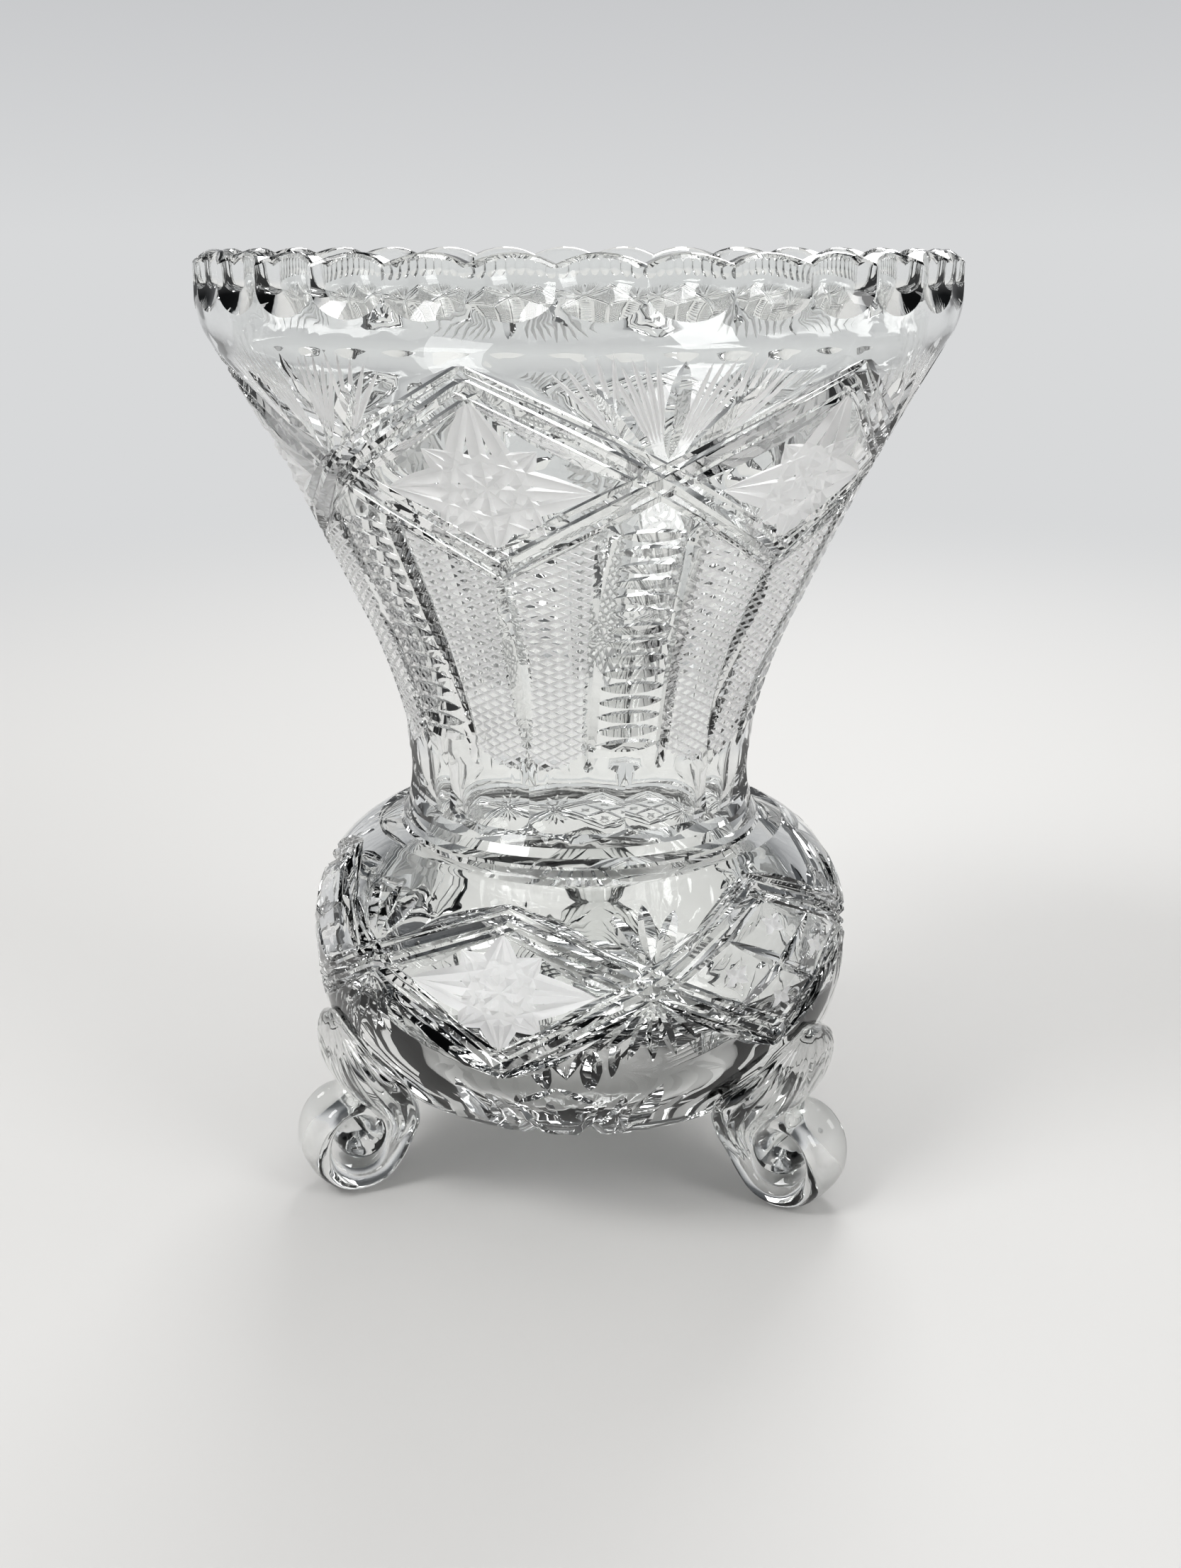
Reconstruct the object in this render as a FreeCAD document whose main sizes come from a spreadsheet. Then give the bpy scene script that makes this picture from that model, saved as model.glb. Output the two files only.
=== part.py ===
"""Cut crystal vase: one blown vessel standing on three applied scroll feet.

Millimetres, +Z up. The origin is on the axis of the vessel, at the level of the surface that
the feet stand on. Azimuths are counted from the front (-Y) towards the right (+X).
"""
import FreeCAD, Part
import math
import os

import Sketcher

SIZES = {
    # overall
    "total_height": 205.0,        # the highest point of the scalloped rim
    "rim_radius": 80.0,           # over the sharp edges between the rim flutes
    "rim_wall": 5.5,              # thickness of the lip
    "rim_band": 13.0,             # upright band that carries the rim flutes
    "lip_round": 1.6,             # rounding of the lip, inside
    # trumpet
    "flare_drop": 4.0,            # height of the turn from the trumpet into the upright band
    "flare_step": 2.6,            # how far the band stands out over the trumpet's top
    "flare_curve": 560.0,         # radius of the trumpet's upper wall
    "middle_radius": 49.2,        # trumpet at the height where its curve tightens
    "stem_length": 28.5,
    "stem_curve": 122.0,          # radius of the trumpet's lower wall
    "trumpet_wall": 5.6,
    # waist
    "waist_radius": 38.9,
    "waist_length": 18.0,
    "waist_wall": 6.6,
    "bead_radius": 40.2,          # thin ring under the thumb cuts
    "bead_height": 2.6,
    "bead_step": 0.2,
    # bulb
    "shoulder_radius": 46.0,
    "shoulder_height": 80.6,
    "bulb_radius": 61.0,
    "bulb_height": 53.0,
    "shoulder_curve": 26.0,
    "bulb_wall": 7.6,
    "lower_radius": 54.4,         # where the bulb turns under
    "lower_height": 30.0,
    "lower_curve": 38.0,
    "base_radius": 30.0,
    "base_height": 17.5,
    "base_thickness": 13.0,
    "under_curve": 34.0,
    "inner_bottom_radius": 30.0,
    # cuts in the vessel
    "flute_count": 32,
    "flute_depth": 1.6,
    "flute_runout": 7.0,
    "scallop_rise": 1.6,
    "thumb_count": 12,
    "thumb_depth": 1.8,
    "thumb_wheel": 22.0,
    "flute_azimuth": 8.375,     # azimuth of one edge between two flutes
    "cut_azimuth": 14.0,          # azimuth of one edge between two thumb cuts
    # feet
    "star_count": 6,
    "band_top": 182.6,
    "band_cross": 164.2,
    "band_foot": 147.0,
    "bulb_band_top": 74.5,
    "bulb_band_cross": 62.5,
    "bulb_band_foot": 44.6,
    "mitre_depth": 1.1,
    "mitre_width": 2.7,
    "leaf_mitre_middle": 124.0,
    "leaf_mitre_wheel": 72.0,
    "leaf_mitre_depth": 1.3,
    "leaf_mitre_length": 50.0,
    "ladder_half_angle": 10.4,
    "foot_count": 3,
    "foot_azimuth": 55.0,
    "scroll_radius": 12.0,
    "scroll_place": 57.0,         # scroll's centre, from the axis of the vessel
    "scroll_width": 15.0,
    "strip_thickness": 4.2,
    "ground_flat": 5.0,           # flat ground under each scroll, on which the vase stands
    "eye_radius": 4.4,
    "curl_gap": 1.0,
    "leaf_top": 43.0,
    "leaf_front": 60.0,
    "leaf_width": 52.0,
    "leaf_height": 28.0,
    "leaf_round": 30.0,           # radius of the leaf's outer face, seen from above
}

os.makedirs("parts", exist_ok=True)
doc = FreeCAD.newDocument("cut_crystal_vase")
sheet = doc.addObject("Spreadsheet::Sheet", "Sizes")
for row, (alias, value) in enumerate(SIZES.items(), start=1):
    sheet.set(f"A{row}", alias)
    sheet.set(f"B{row}", str(value))
    sheet.setAlias(f"B{row}", alias)
doc.recompute()


def size(name):
    """The sheet's value of one driving dimension."""
    return float(sheet.get(name))


def number(expression):
    """The number that an expression of the sheet's dimensions gives now."""
    result = sheet.evalExpression(expression)
    return float(getattr(result, "Value", result))


def origin_part(body, role):
    """One of a body's own origin planes or axes."""
    return next(item for item in body.Origin.OriginFeatures if item.Role == role)


def new_body(name):
    """An empty PartDesign body."""
    return doc.addObject("PartDesign::Body", name)


def arc_between(start, end, radius, bulge):
    """The arc of that radius from start to end, its middle to the left (1) or right (-1)."""
    middle = (start + end) * 0.5
    half = (end - start) * 0.5
    side = FreeCAD.Vector(-half.y, half.x, 0).normalize() * bulge
    centre = middle - side * math.sqrt(max(radius**2 - half.Length**2, 0.0))
    first, last = (start, end) if bulge < 0 else (end, start)
    turns = [math.atan2(point.y - centre.y, point.x - centre.x) for point in (first, last)]
    if turns[1] < turns[0]:
        turns[1] += 2 * math.pi
    return Part.ArcOfCircle(Part.Circle(centre, FreeCAD.Vector(0, 0, 1), radius), *turns)


def outline(body, name, role, corners):
    """A closed sketch on an origin plane.

    Each corner is (across, up, curve): two expressions for its place and, for the edge that
    leaves it, None for a straight line or (radius expression, bulge) for an arc.
    """
    sketch = body.newObject("Sketcher::SketchObject", name)
    sketch.AttachmentSupport = [(origin_part(body, role), "")]
    sketch.MapMode = "FlatFace"
    points = [FreeCAD.Vector(number(across), number(up), 0) for across, up, _ in corners]
    for index, (_, _, curve) in enumerate(corners):
        start = points[index]
        end = points[(index + 1) % len(points)]
        if curve is None:
            sketch.addGeometry(Part.LineSegment(start, end), False)
        else:
            sketch.addGeometry(arc_between(start, end, number(curve[0]), curve[1]), False)
    ends = [edge_ends(sketch.Geometry[index], points[index]) for index in range(len(corners))]
    for index in range(len(corners)):
        follower = (index + 1) % len(corners)
        sketch.addConstraint(Sketcher.Constraint(
            "Coincident", index, ends[index][1], follower, ends[follower][0]))
    for index, (across, up, curve) in enumerate(corners):
        place_corner(sketch, index, ends[index][0], "DistanceX", across, points[index].x)
        place_corner(sketch, index, ends[index][0], "DistanceY", up, points[index].y)
        if curve is not None:
            radius = sketch.addConstraint(Sketcher.Constraint("Radius", index, number(curve[0])))
            sketch.setExpression(f"Constraints[{radius}]", curve[0])
    return sketch


def edge_ends(edge, start):
    """The sketcher's numbers (1 or 2) of an edge's first and last point, first at start."""
    forward = edge.StartPoint.distanceToPoint(start) < edge.EndPoint.distanceToPoint(start)
    return (1, 2) if forward else (2, 1)


def place_corner(sketch, edge, end, kind, expression, place):
    """Holds one corner of an outline at a distance from the sketch's own axis."""
    if expression == "0":
        axis = -2 if kind == "DistanceX" else -1
        sketch.addConstraint(Sketcher.Constraint("PointOnObject", edge, end, axis))
        return
    held = sketch.addConstraint(Sketcher.Constraint(kind, -1, 1, edge, end, place))
    sketch.setExpression(f"Constraints[{held}]", expression)


def spin_profile(body, kind, name, sketch, axis):
    """A full Revolution or Groove of a sketch about one of the sketch's axes."""
    feature = body.newObject(kind, name)
    feature.Profile = sketch
    feature.ReferenceAxis = (sketch, [axis])
    feature.Angle = 360.0
    return feature


def slab(body, kind, name, sketch, length, midplane=True, reverse=False):
    """A Pad or Pocket of a sketch."""
    feature = body.newObject(kind, name)
    feature.Profile = sketch
    feature.Midplane = midplane
    feature.Reversed = reverse
    feature.setExpression("Length", length)
    return feature


def repeat_round(body, name, features, count):
    """Repeats cuts round the vessel's axis."""
    pattern = body.newObject("PartDesign::PolarPattern", name)
    pattern.Originals = features
    pattern.Axis = (origin_part(body, "Z_Axis"), [""])
    pattern.Angle = 360.0
    pattern.setExpression("Occurrences", count)
    pattern.Refine = False
    body.Tip = pattern
    return pattern


# Heights that build on one another: the ring over the shoulder, the waist and the stem.
RING_FOOT = "(Sizes.shoulder_height + Sizes.bead_step)"
WAIST_FOOT = "(Sizes.shoulder_height + Sizes.bead_step + 2 * Sizes.bead_height)"
WAIST_TOP = "(" + WAIST_FOOT + " + Sizes.waist_length)"
STEM_TOP = "(" + WAIST_TOP + " + Sizes.stem_length)"

# A wheel that just spans one flute's width at the flute's depth.
FLUTE_WHEEL = ("((Sizes.rim_radius * tan(180 deg / Sizes.flute_count))^2 + Sizes.flute_depth^2)"
               " / (2 * Sizes.flute_depth)")

# The outer wall from the base up to the lip, and the inner wall from the lip down to the floor.
BULB_OUTSIDE = [
    ("0", "Sizes.base_height", None),
    ("Sizes.base_radius", "Sizes.base_height", ("Sizes.under_curve", -1)),
    ("Sizes.lower_radius", "Sizes.lower_height", ("Sizes.lower_curve", -1)),
    ("Sizes.bulb_radius", "Sizes.bulb_height", ("Sizes.shoulder_curve", -1)),
]
SHOULDER = ("Sizes.shoulder_radius", "Sizes.shoulder_height", None)
WALL_OUTSIDE = BULB_OUTSIDE + [
    SHOULDER,
    ("Sizes.bead_radius", RING_FOOT, None),
    ("Sizes.bead_radius", RING_FOOT + " + Sizes.bead_height", None),
    ("Sizes.waist_radius", WAIST_FOOT, None),
    ("Sizes.waist_radius", WAIST_TOP, ("Sizes.stem_curve", 1)),
    ("Sizes.middle_radius", STEM_TOP, ("Sizes.flare_curve", 1)),
    ("Sizes.rim_radius - Sizes.flare_step",
     "Sizes.total_height - Sizes.rim_band - Sizes.flare_drop", ("2 * Sizes.flare_drop", -1)),
    ("Sizes.rim_radius", "Sizes.total_height - Sizes.rim_band", None),
    ("Sizes.rim_radius", "Sizes.total_height", None),
]
WALL_INSIDE = [
    ("Sizes.rim_radius - Sizes.rim_wall + Sizes.lip_round", "Sizes.total_height", None),
    ("Sizes.rim_radius - Sizes.rim_wall", "Sizes.total_height - Sizes.lip_round", None),
    ("Sizes.rim_radius - Sizes.rim_wall", "Sizes.total_height - Sizes.rim_band",
     ("Sizes.flare_curve", -1)),
    ("Sizes.middle_radius - Sizes.trumpet_wall", STEM_TOP, ("Sizes.stem_curve", -1)),
    ("Sizes.waist_radius - Sizes.waist_wall", WAIST_TOP, None),
    ("Sizes.waist_radius - Sizes.waist_wall", WAIST_FOOT, None),
    ("Sizes.shoulder_radius - Sizes.bulb_wall",
     "Sizes.shoulder_height - Sizes.bulb_wall", ("Sizes.shoulder_curve", 1)),
    ("Sizes.bulb_radius - Sizes.bulb_wall", "Sizes.bulb_height", ("Sizes.lower_curve", 1)),
    ("Sizes.inner_bottom_radius", "Sizes.base_height + Sizes.base_thickness", None),
    ("0", "Sizes.base_height + Sizes.base_thickness", None),
]


# The wall's arcs that the bands of cuts lie on: lower end, upper end, radius, bulge.
STEM_ARC = (("Sizes.waist_radius", WAIST_TOP), ("Sizes.middle_radius", STEM_TOP),
            "Sizes.stem_curve", 1)
FLARE_ARC = (("Sizes.middle_radius", STEM_TOP),
             ("(Sizes.rim_radius - Sizes.flare_step)",
              "(Sizes.total_height - Sizes.rim_band - Sizes.flare_drop)"),
             "Sizes.flare_curve", 1)
SHOULDER_ARC = (("Sizes.bulb_radius", "Sizes.bulb_height"),
                ("Sizes.shoulder_radius", "Sizes.shoulder_height"), "Sizes.shoulder_curve", -1)
LOWER_ARC = (("Sizes.lower_radius", "Sizes.lower_height"),
             ("Sizes.bulb_radius", "Sizes.bulb_height"), "Sizes.lower_curve", -1)


def make_vessel():
    """The vessel of revolution, with its rim flutes, scalloped lip and thumb cuts."""
    body = new_body("vase_body")
    wall = outline(body, "WallProfile", "XZ_Plane", WALL_OUTSIDE + WALL_INSIDE)
    spin_profile(body, "PartDesign::Revolution", "BlownWall", wall, "V_Axis")
    doc.recompute()
    cut_flutes(body)
    cut_scallops(body)
    cut_thumbs(body)
    cut_bands(body)
    body.setExpression(
        "Placement.Rotation.Angle", "Sizes.flute_azimuth + 180 / Sizes.flute_count - 90")
    return body


def cut_flutes(body):
    """Hollow flutes side by side round the upright band; the wheel runs out at their foot."""
    wheel_place = "Sizes.rim_radius - Sizes.flute_depth + " + FLUTE_WHEEL
    face = "Sizes.rim_radius - Sizes.flute_depth"
    above = "Sizes.total_height + Sizes.scallop_rise"
    below = "Sizes.total_height - Sizes.rim_band - Sizes.flare_drop"
    sketch = outline(body, "FluteProfile", "XZ_Plane", [
        (wheel_place, above, None),
        (face, above, None),
        (face, below + " + Sizes.flute_runout", ("2 * Sizes.flute_runout", -1)),
        (face + " + Sizes.flute_depth + Sizes.flare_step / 2", below, None),
        (wheel_place, below, None),
    ])
    flute = body.newObject("PartDesign::Groove", "Flute")
    flute.Profile = sketch
    axis = sketch.addGeometry(Part.LineSegment(
        FreeCAD.Vector(number(wheel_place), number(below), 0),
        FreeCAD.Vector(number(wheel_place), number(above), 0)), True)
    sketch.addConstraint(Sketcher.Constraint("Coincident", axis, 1, 4, 1))
    sketch.addConstraint(Sketcher.Constraint("Coincident", axis, 2, 0, 1))
    flute.ReferenceAxis = (sketch, ["Axis0"])
    flute.Angle = 360.0
    doc.recompute()
    repeat_round(body, "Flutes", [flute], "Sizes.flute_count")
    doc.recompute()


def cut_scallops(body):
    """The lip rises in a low arch over each flute."""
    half_pitch = "Sizes.rim_radius * tan(180 deg / Sizes.flute_count)"
    low = "Sizes.total_height - Sizes.scallop_rise"
    over = "Sizes.total_height + Sizes.scallop_rise"
    arch = f"(({half_pitch})^2 + Sizes.scallop_rise^2) / (2 * Sizes.scallop_rise)"
    sketch = outline(body, "ScallopProfile", "YZ_Plane", [
        (f"-1 * {half_pitch}", low, (arch, 1)),
        (half_pitch, low, None),
        (half_pitch, over, None),
        (f"-1 * {half_pitch}", over, None),
    ])
    sketch.setExpression("AttachmentOffset.Base.z", "Sizes.rim_radius - 2 * Sizes.rim_wall")
    doc.recompute()
    arch_cut = slab(body, "PartDesign::Pocket", "Scallop", sketch,
                    "3 * Sizes.rim_wall", midplane=False, reverse=True)
    doc.recompute()
    repeat_round(body, "Scallops", [arch_cut], "Sizes.flute_count")
    doc.recompute()


def cut_thumbs(body):
    """Large oval thumb cuts round the waist, so close that they meet in sharp edges."""
    middle = "(" + WAIST_FOOT + " + Sizes.waist_length / 2)"
    sketch = body.newObject("Sketcher::SketchObject", "ThumbProfile")
    sketch.AttachmentSupport = [(origin_part(body, "XZ_Plane"), "")]
    sketch.MapMode = "FlatFace"
    sketch.AttachmentOffset = FreeCAD.Placement(
        FreeCAD.Vector(), FreeCAD.Rotation(FreeCAD.Vector(0, 1, 0), 1.0))
    sketch.setExpression(
        "AttachmentOffset.Rotation.Angle",
        "Sizes.cut_azimuth + 180 / Sizes.thumb_count"
        " - Sizes.flute_azimuth - 180 / Sizes.flute_count")
    place = "Sizes.waist_radius - Sizes.thumb_depth + Sizes.thumb_wheel"
    centre = FreeCAD.Vector(number(place), number(middle), 0)
    sketch.addGeometry(Part.Circle(centre, FreeCAD.Vector(0, 0, 1), size("thumb_wheel")), False)
    bound = [
        ("Sizes.thumb_wheel", Sketcher.Constraint("Radius", 0, size("thumb_wheel"))),
        (place, Sketcher.Constraint("DistanceX", -1, 1, 0, 3, centre.x)),
        (middle, Sketcher.Constraint("DistanceY", -1, 1, 0, 3, centre.y)),
    ]
    for expression, constraint in bound:
        held = sketch.addConstraint(constraint)
        sketch.setExpression(f"Constraints[{held}]", expression)
    thumb = slab(body, "PartDesign::Pocket", "Thumb", sketch,
                 "4 * Sizes.waist_radius * tan(180 deg / Sizes.thumb_count)")
    doc.recompute()
    repeat_round(body, "Thumbs", [thumb], "Sizes.thumb_count")
    doc.recompute()


def wall_spot(arc, height):
    """Expressions for the wall's radius, height and lean (degrees) at a height on an arc."""
    (low_radius, low_height), (high_radius, high_height), curve, bulge = arc
    across = f"({high_radius} - {low_radius})"
    up = f"({high_height} - {low_height})"
    chord = f"sqrt({across}^2 + {up}^2)"
    back = f"sqrt({curve}^2 - ({across}^2 + {up}^2) / 4)"
    centre_radius = f"(({low_radius} + {high_radius}) / 2 + {bulge} * {back} * {up} / {chord})"
    centre_height = f"(({low_height} + {high_height}) / 2 - {bulge} * {back} * {across} / {chord})"
    above = f"({height} - {centre_height})"
    radius = f"({centre_radius} - {bulge} * sqrt({curve}^2 - {above}^2))"
    lean = f"asin({bulge} * {above} / {curve})"
    return radius, height, lean


def cut_mitre(body, name, azimuth, spot, roll, axis_place, depth, sweep):
    """One V-shaped mitre; its middle lies at a spot of the wall.

    The roll turns it from level towards upright. The V is swung through the angle sweep about an
    axis on the spot's normal at axis_place: inside the wall for a mitre that follows the wall
    round, and outside for one bite of a wheel.
    """
    radius, height, lean = spot
    mouth = "(1.5 * Sizes.mitre_width)"
    sketch = outline(body, name + "Profile", "XZ_Plane", [
        (f"-1 * {depth}", "0", None),
        (f"2 * {depth}", mouth, None),
        (f"2 * {depth}", f"-1 * {mouth}", None),
    ])
    turn = f"{azimuth} - Sizes.flute_azimuth - 180 / Sizes.flute_count"
    sketch.setExpression(
        "AttachmentOffset",
        f"placement(vector(0; 0; 0); rotation(vector(0; 1; 0); {turn}))"
        f" * placement(vector({radius}; {height}; 0); rotation(vector(0; 0; 1); -1 * {lean}))"
        f" * placement(vector(0; 0; 0); rotation(vector(1; 0; 0); {roll}))")
    place = number(axis_place)
    axis = sketch.addGeometry(Part.LineSegment(
        FreeCAD.Vector(place, 0, 0), FreeCAD.Vector(place, number(mouth), 0)), True)
    place_corner(sketch, axis, 1, "DistanceX", axis_place, place)
    place_corner(sketch, axis, 1, "DistanceY", "0", 0)
    place_corner(sketch, axis, 2, "DistanceX", axis_place, place)
    place_corner(sketch, axis, 2, "DistanceY", mouth, number(mouth))
    groove = body.newObject("PartDesign::Groove", name)
    groove.Profile = sketch
    groove.ReferenceAxis = (sketch, ["Axis0"])
    groove.Midplane = True
    groove.setExpression("Angle", sweep)
    doc.recompute()
    return groove


def cut_slant(body, name, side, arc, crossing, point):
    """A mitre from a band's crossing to a star's point, to one side (1 or -1) of the crossing."""
    spot = wall_spot(arc, f"(({crossing} + {point}) / 2)")
    radius, _, lean = spot
    across = f"({radius} * pi / Sizes.star_count)"
    up = f"(({point} - {crossing}) / cos({lean}))"
    square = f"({across}^2 + {up}^2)"
    bend = (f"(({across}^2 * cos({lean}) / {radius} - {arc[3]} * {up}^2 / {arc[2]})"
            f" / {square})")
    azimuth = f"Sizes.cut_azimuth + {side} * 90 / Sizes.star_count"
    return cut_mitre(body, name, azimuth, spot, f"{side} * atan({up} / {across})",
                     f"-1 / {bend}", "Sizes.mitre_depth", f"sqrt({square}) * {bend} * 180 / pi")


def cut_bands(body):
    """The main mitres: two bands of diamonds, and the upright ones on the trumpet."""
    upper = [cut_slant(body, f"Band{place}{hand}", side, FLARE_ARC, "Sizes.band_cross", point)
             for hand, side in (("Right", 1), ("Left", -1))
             for place, point in (("Top", "Sizes.band_top"), ("Foot", "Sizes.band_foot"))]
    spot = wall_spot(STEM_ARC, "Sizes.leaf_mitre_middle")
    reach = "Sizes.leaf_mitre_length / Sizes.leaf_mitre_wheel * 180 / pi"
    star = "Sizes.cut_azimuth + 180 / Sizes.star_count"
    upright = [cut_mitre(body, "LeafMitre", star, spot, "90",
                         "Sizes.leaf_mitre_wheel - Sizes.leaf_mitre_depth",
                         "Sizes.leaf_mitre_depth", reach)]
    for hand, side in (("Right", 1), ("Left", -1)):
        edge = f"Sizes.cut_azimuth + {side} * Sizes.ladder_half_angle"
        upright.append(cut_mitre(body, f"Ladder{hand}", edge, spot, "90",
                                 "Sizes.leaf_mitre_wheel - Sizes.mitre_depth",
                                 "Sizes.mitre_depth", reach))
    repeat_round(body, "UpperBand", upper + upright, "Sizes.star_count")
    doc.recompute()
    lower = [cut_slant(body, f"Bulb{place}{hand}", side, arc, "Sizes.bulb_band_cross", point)
             for hand, side in (("Right", 1), ("Left", -1))
             for place, arc, point in (("Top", SHOULDER_ARC, "Sizes.bulb_band_top"),
                                       ("Foot", LOWER_ARC, "Sizes.bulb_band_foot"))]
    repeat_round(body, "BulbBand", lower, "Sizes.star_count")
    doc.recompute()


def make_foot_blank(name):
    """A foot along +X before it is pressed onto the vessel: a leaf-shaped root and its scroll."""
    body = new_body(name)
    root = outline(body, "RootSide", "XZ_Plane", [
        ("Sizes.base_radius", "Sizes.base_height", None),
        ("Sizes.scroll_place - 0.8 * Sizes.scroll_radius",
         "0.4 * Sizes.scroll_radius", None),
        ("Sizes.scroll_place - 0.8 * Sizes.scroll_radius + Sizes.strip_thickness / 2",
         "Sizes.scroll_radius", None),
        ("Sizes.leaf_front", "2 * Sizes.scroll_radius + Sizes.strip_thickness / 2", None),
        ("Sizes.leaf_front", "Sizes.leaf_top", None),
        ("Sizes.base_radius", "Sizes.leaf_top", None),
    ])
    slab(body, "PartDesign::Pad", "RootBlock", root, "Sizes.leaf_width")
    doc.recompute()
    trim_leaf(body, 1)
    trim_leaf(body, -1)
    round_leaf(body)
    add_scroll(body)
    return body


def trim_leaf(body, side):
    """Cuts one side of the root to the leaf's outline: a point on top, a narrow foot below."""
    half = f"{side} * Sizes.leaf_width / 2"
    stem = f"{side} * Sizes.scroll_width / 2"
    far = f"{side} * Sizes.leaf_width"
    name = "Right" if side > 0 else "Left"
    sketch = outline(body, f"Leaf{name}", "YZ_Plane", [
        ("0", "Sizes.leaf_top", None),
        (half, "Sizes.leaf_height", None),
        (stem, "Sizes.scroll_radius", None),
        (stem, "-1 * Sizes.scroll_radius", None),
        (far, "-1 * Sizes.scroll_radius", None),
        (far, "Sizes.leaf_top", None),
    ])
    slab(body, "PartDesign::Pocket", f"LeafEdge{name}", sketch,
         "Sizes.leaf_front + Sizes.scroll_radius", midplane=False, reverse=True)
    doc.recompute()


def round_leaf(body):
    """Bows the leaf's outer face, so that its edges run into the vessel's side."""
    reach = "(Sizes.leaf_front - Sizes.leaf_round)"
    side = "Sizes.leaf_round"
    sketch = outline(body, "LeafFace", "XY_Plane", [
        (reach, f"-1 * {side}", (side, -1)),
        (f"{reach} + {side}", "0", (side, -1)),
        (reach, side, None),
        (f"{reach} + 2 * {side}", side, None),
        (f"{reach} + 2 * {side}", f"-1 * {side}", None),
    ])
    slab(body, "PartDesign::Pocket", "LeafBow", sketch, "Sizes.leaf_top + Sizes.scroll_radius",
         midplane=False, reverse=True)
    doc.recompute()


def add_scroll(body):
    """The strip that runs out along the ground, up and back into its own eye."""
    place = "Sizes.scroll_place"
    outer = "Sizes.scroll_radius"
    inner = "(Sizes.scroll_radius - Sizes.strip_thickness)"
    eye = "Sizes.eye_radius"
    sketch = outline(body, "ScrollSide", "XZ_Plane", [
        (f"{place} - 0.8 * {outer}", f"0.4 * {outer}", (outer, -1)),
        (f"{place} - Sizes.ground_flat / 2", "0", None),
        (f"{place} + Sizes.ground_flat / 2", "0", (outer, -1)),
        (f"{place} + {outer}", outer, (outer, -1)),
        (place, f"2 * {outer}", (f"0.9 * {outer}", -1)),
        (f"{place} - {eye} - Sizes.curl_gap", f"{outer} + {eye}", (f"1.3 * {eye}", -1)),
        (place, f"{outer} - {eye}", (eye, -1)),
        (f"{place} + {eye}", outer, None),
        (f"{place} + {eye}", f"{outer} + {eye}", None),
        (f"{place} + {inner}", outer, (inner, 1)),
        (place, f"{outer} - {inner}", (f"1.3 * {inner}", 1)),
        (f"{place} - 0.8 * {outer} + Sizes.strip_thickness / 2", outer, None),
    ])
    slab(body, "PartDesign::Pad", "Scroll", sketch, "Sizes.scroll_width")
    doc.recompute()




def make_envelope():
    """The bulb's outer form as one solid, against which the hot feet are pressed."""
    body = new_body("pressing_form")
    form = outline(body, "FormProfile", "XZ_Plane",
                   BULB_OUTSIDE + [SHOULDER, ("0", "Sizes.shoulder_height", None)])
    spin_profile(body, "PartDesign::Revolution", "Form", form, "V_Axis")
    doc.recompute()
    return body


def press_foot(name, number_of_foot, blank, form):
    """One foot, pressed onto the vessel's side and turned to its place."""
    foot = doc.addObject("Part::Cut", name)
    foot.Base = blank
    foot.Tool = form
    foot.Placement.Rotation = FreeCAD.Rotation(FreeCAD.Vector(0, 0, 1), 1.0)
    foot.setExpression(
        "Placement.Rotation.Angle",
        f"Sizes.foot_azimuth - 90 + {number_of_foot} * 360 / Sizes.foot_count")
    return foot


def check(pieces):
    """Stops if any object failed or any piece isn't one sound solid."""
    for item in doc.Objects:
        if "Invalid" in item.State or "Error" in item.State:
            raise SystemExit(f"{item.Name} failed: {item.State}")
    for piece in pieces:
        shape = piece.Shape
        if shape.isNull() or not shape.isValid() or len(shape.Solids) != 1:
            raise SystemExit(f"{piece.Label} isn't one sound solid")


vessel = make_vessel()
blank_foot = make_foot_blank("foot_blank")
pressing_form = make_envelope()
FOOT_NAMES = ["foot_front_right", "foot_rear", "foot_front_left"]
feet = [press_foot(name, turn, blank_foot, pressing_form)
        for turn, name in enumerate(FOOT_NAMES)]
doc.recompute()
pieces = [vessel] + feet
check(pieces)
for piece in pieces:
    piece.Shape.exportStep(f"parts/{piece.Label}.step")
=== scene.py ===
"""Visual model of a cut lead-crystal vase standing on three applied scroll feet.

Sizes are millimetres and turn to metres where a mesh is finished. Azimuths are degrees from the
front (-Y) towards the right (+X). The wall's cuts are drawn on the unrolled wall, where a point
is (azimuth, distance along the wall), and then wrapped round the vessel.
"""
import logging
import math
from dataclasses import dataclass, field
from enum import Enum

import bmesh
import bpy
import numpy as np
from mathutils import Matrix, Vector
from mathutils.geometry import delaunay_2d_cdt


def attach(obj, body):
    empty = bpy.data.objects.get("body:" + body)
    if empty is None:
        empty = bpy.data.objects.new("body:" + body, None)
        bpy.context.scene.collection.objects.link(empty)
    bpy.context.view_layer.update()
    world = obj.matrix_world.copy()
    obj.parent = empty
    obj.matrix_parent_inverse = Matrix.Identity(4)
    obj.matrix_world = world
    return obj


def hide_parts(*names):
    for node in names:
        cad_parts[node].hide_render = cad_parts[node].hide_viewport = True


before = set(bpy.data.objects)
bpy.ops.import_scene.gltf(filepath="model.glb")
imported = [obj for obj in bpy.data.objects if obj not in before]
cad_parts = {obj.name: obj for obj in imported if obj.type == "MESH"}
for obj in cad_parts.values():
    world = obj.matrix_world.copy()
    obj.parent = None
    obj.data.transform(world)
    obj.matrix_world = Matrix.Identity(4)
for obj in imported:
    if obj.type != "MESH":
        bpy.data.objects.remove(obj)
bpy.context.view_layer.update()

MM = 0.001
# Millimetres within which two points count as one: in a zone's drawing, and in a mesh.
HAIR = 1e-4
WELD = 0.004
LOG = logging.getLogger("cut_crystal_vase")
Point = tuple[float, float]
Line = tuple[Point, Point]


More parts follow.
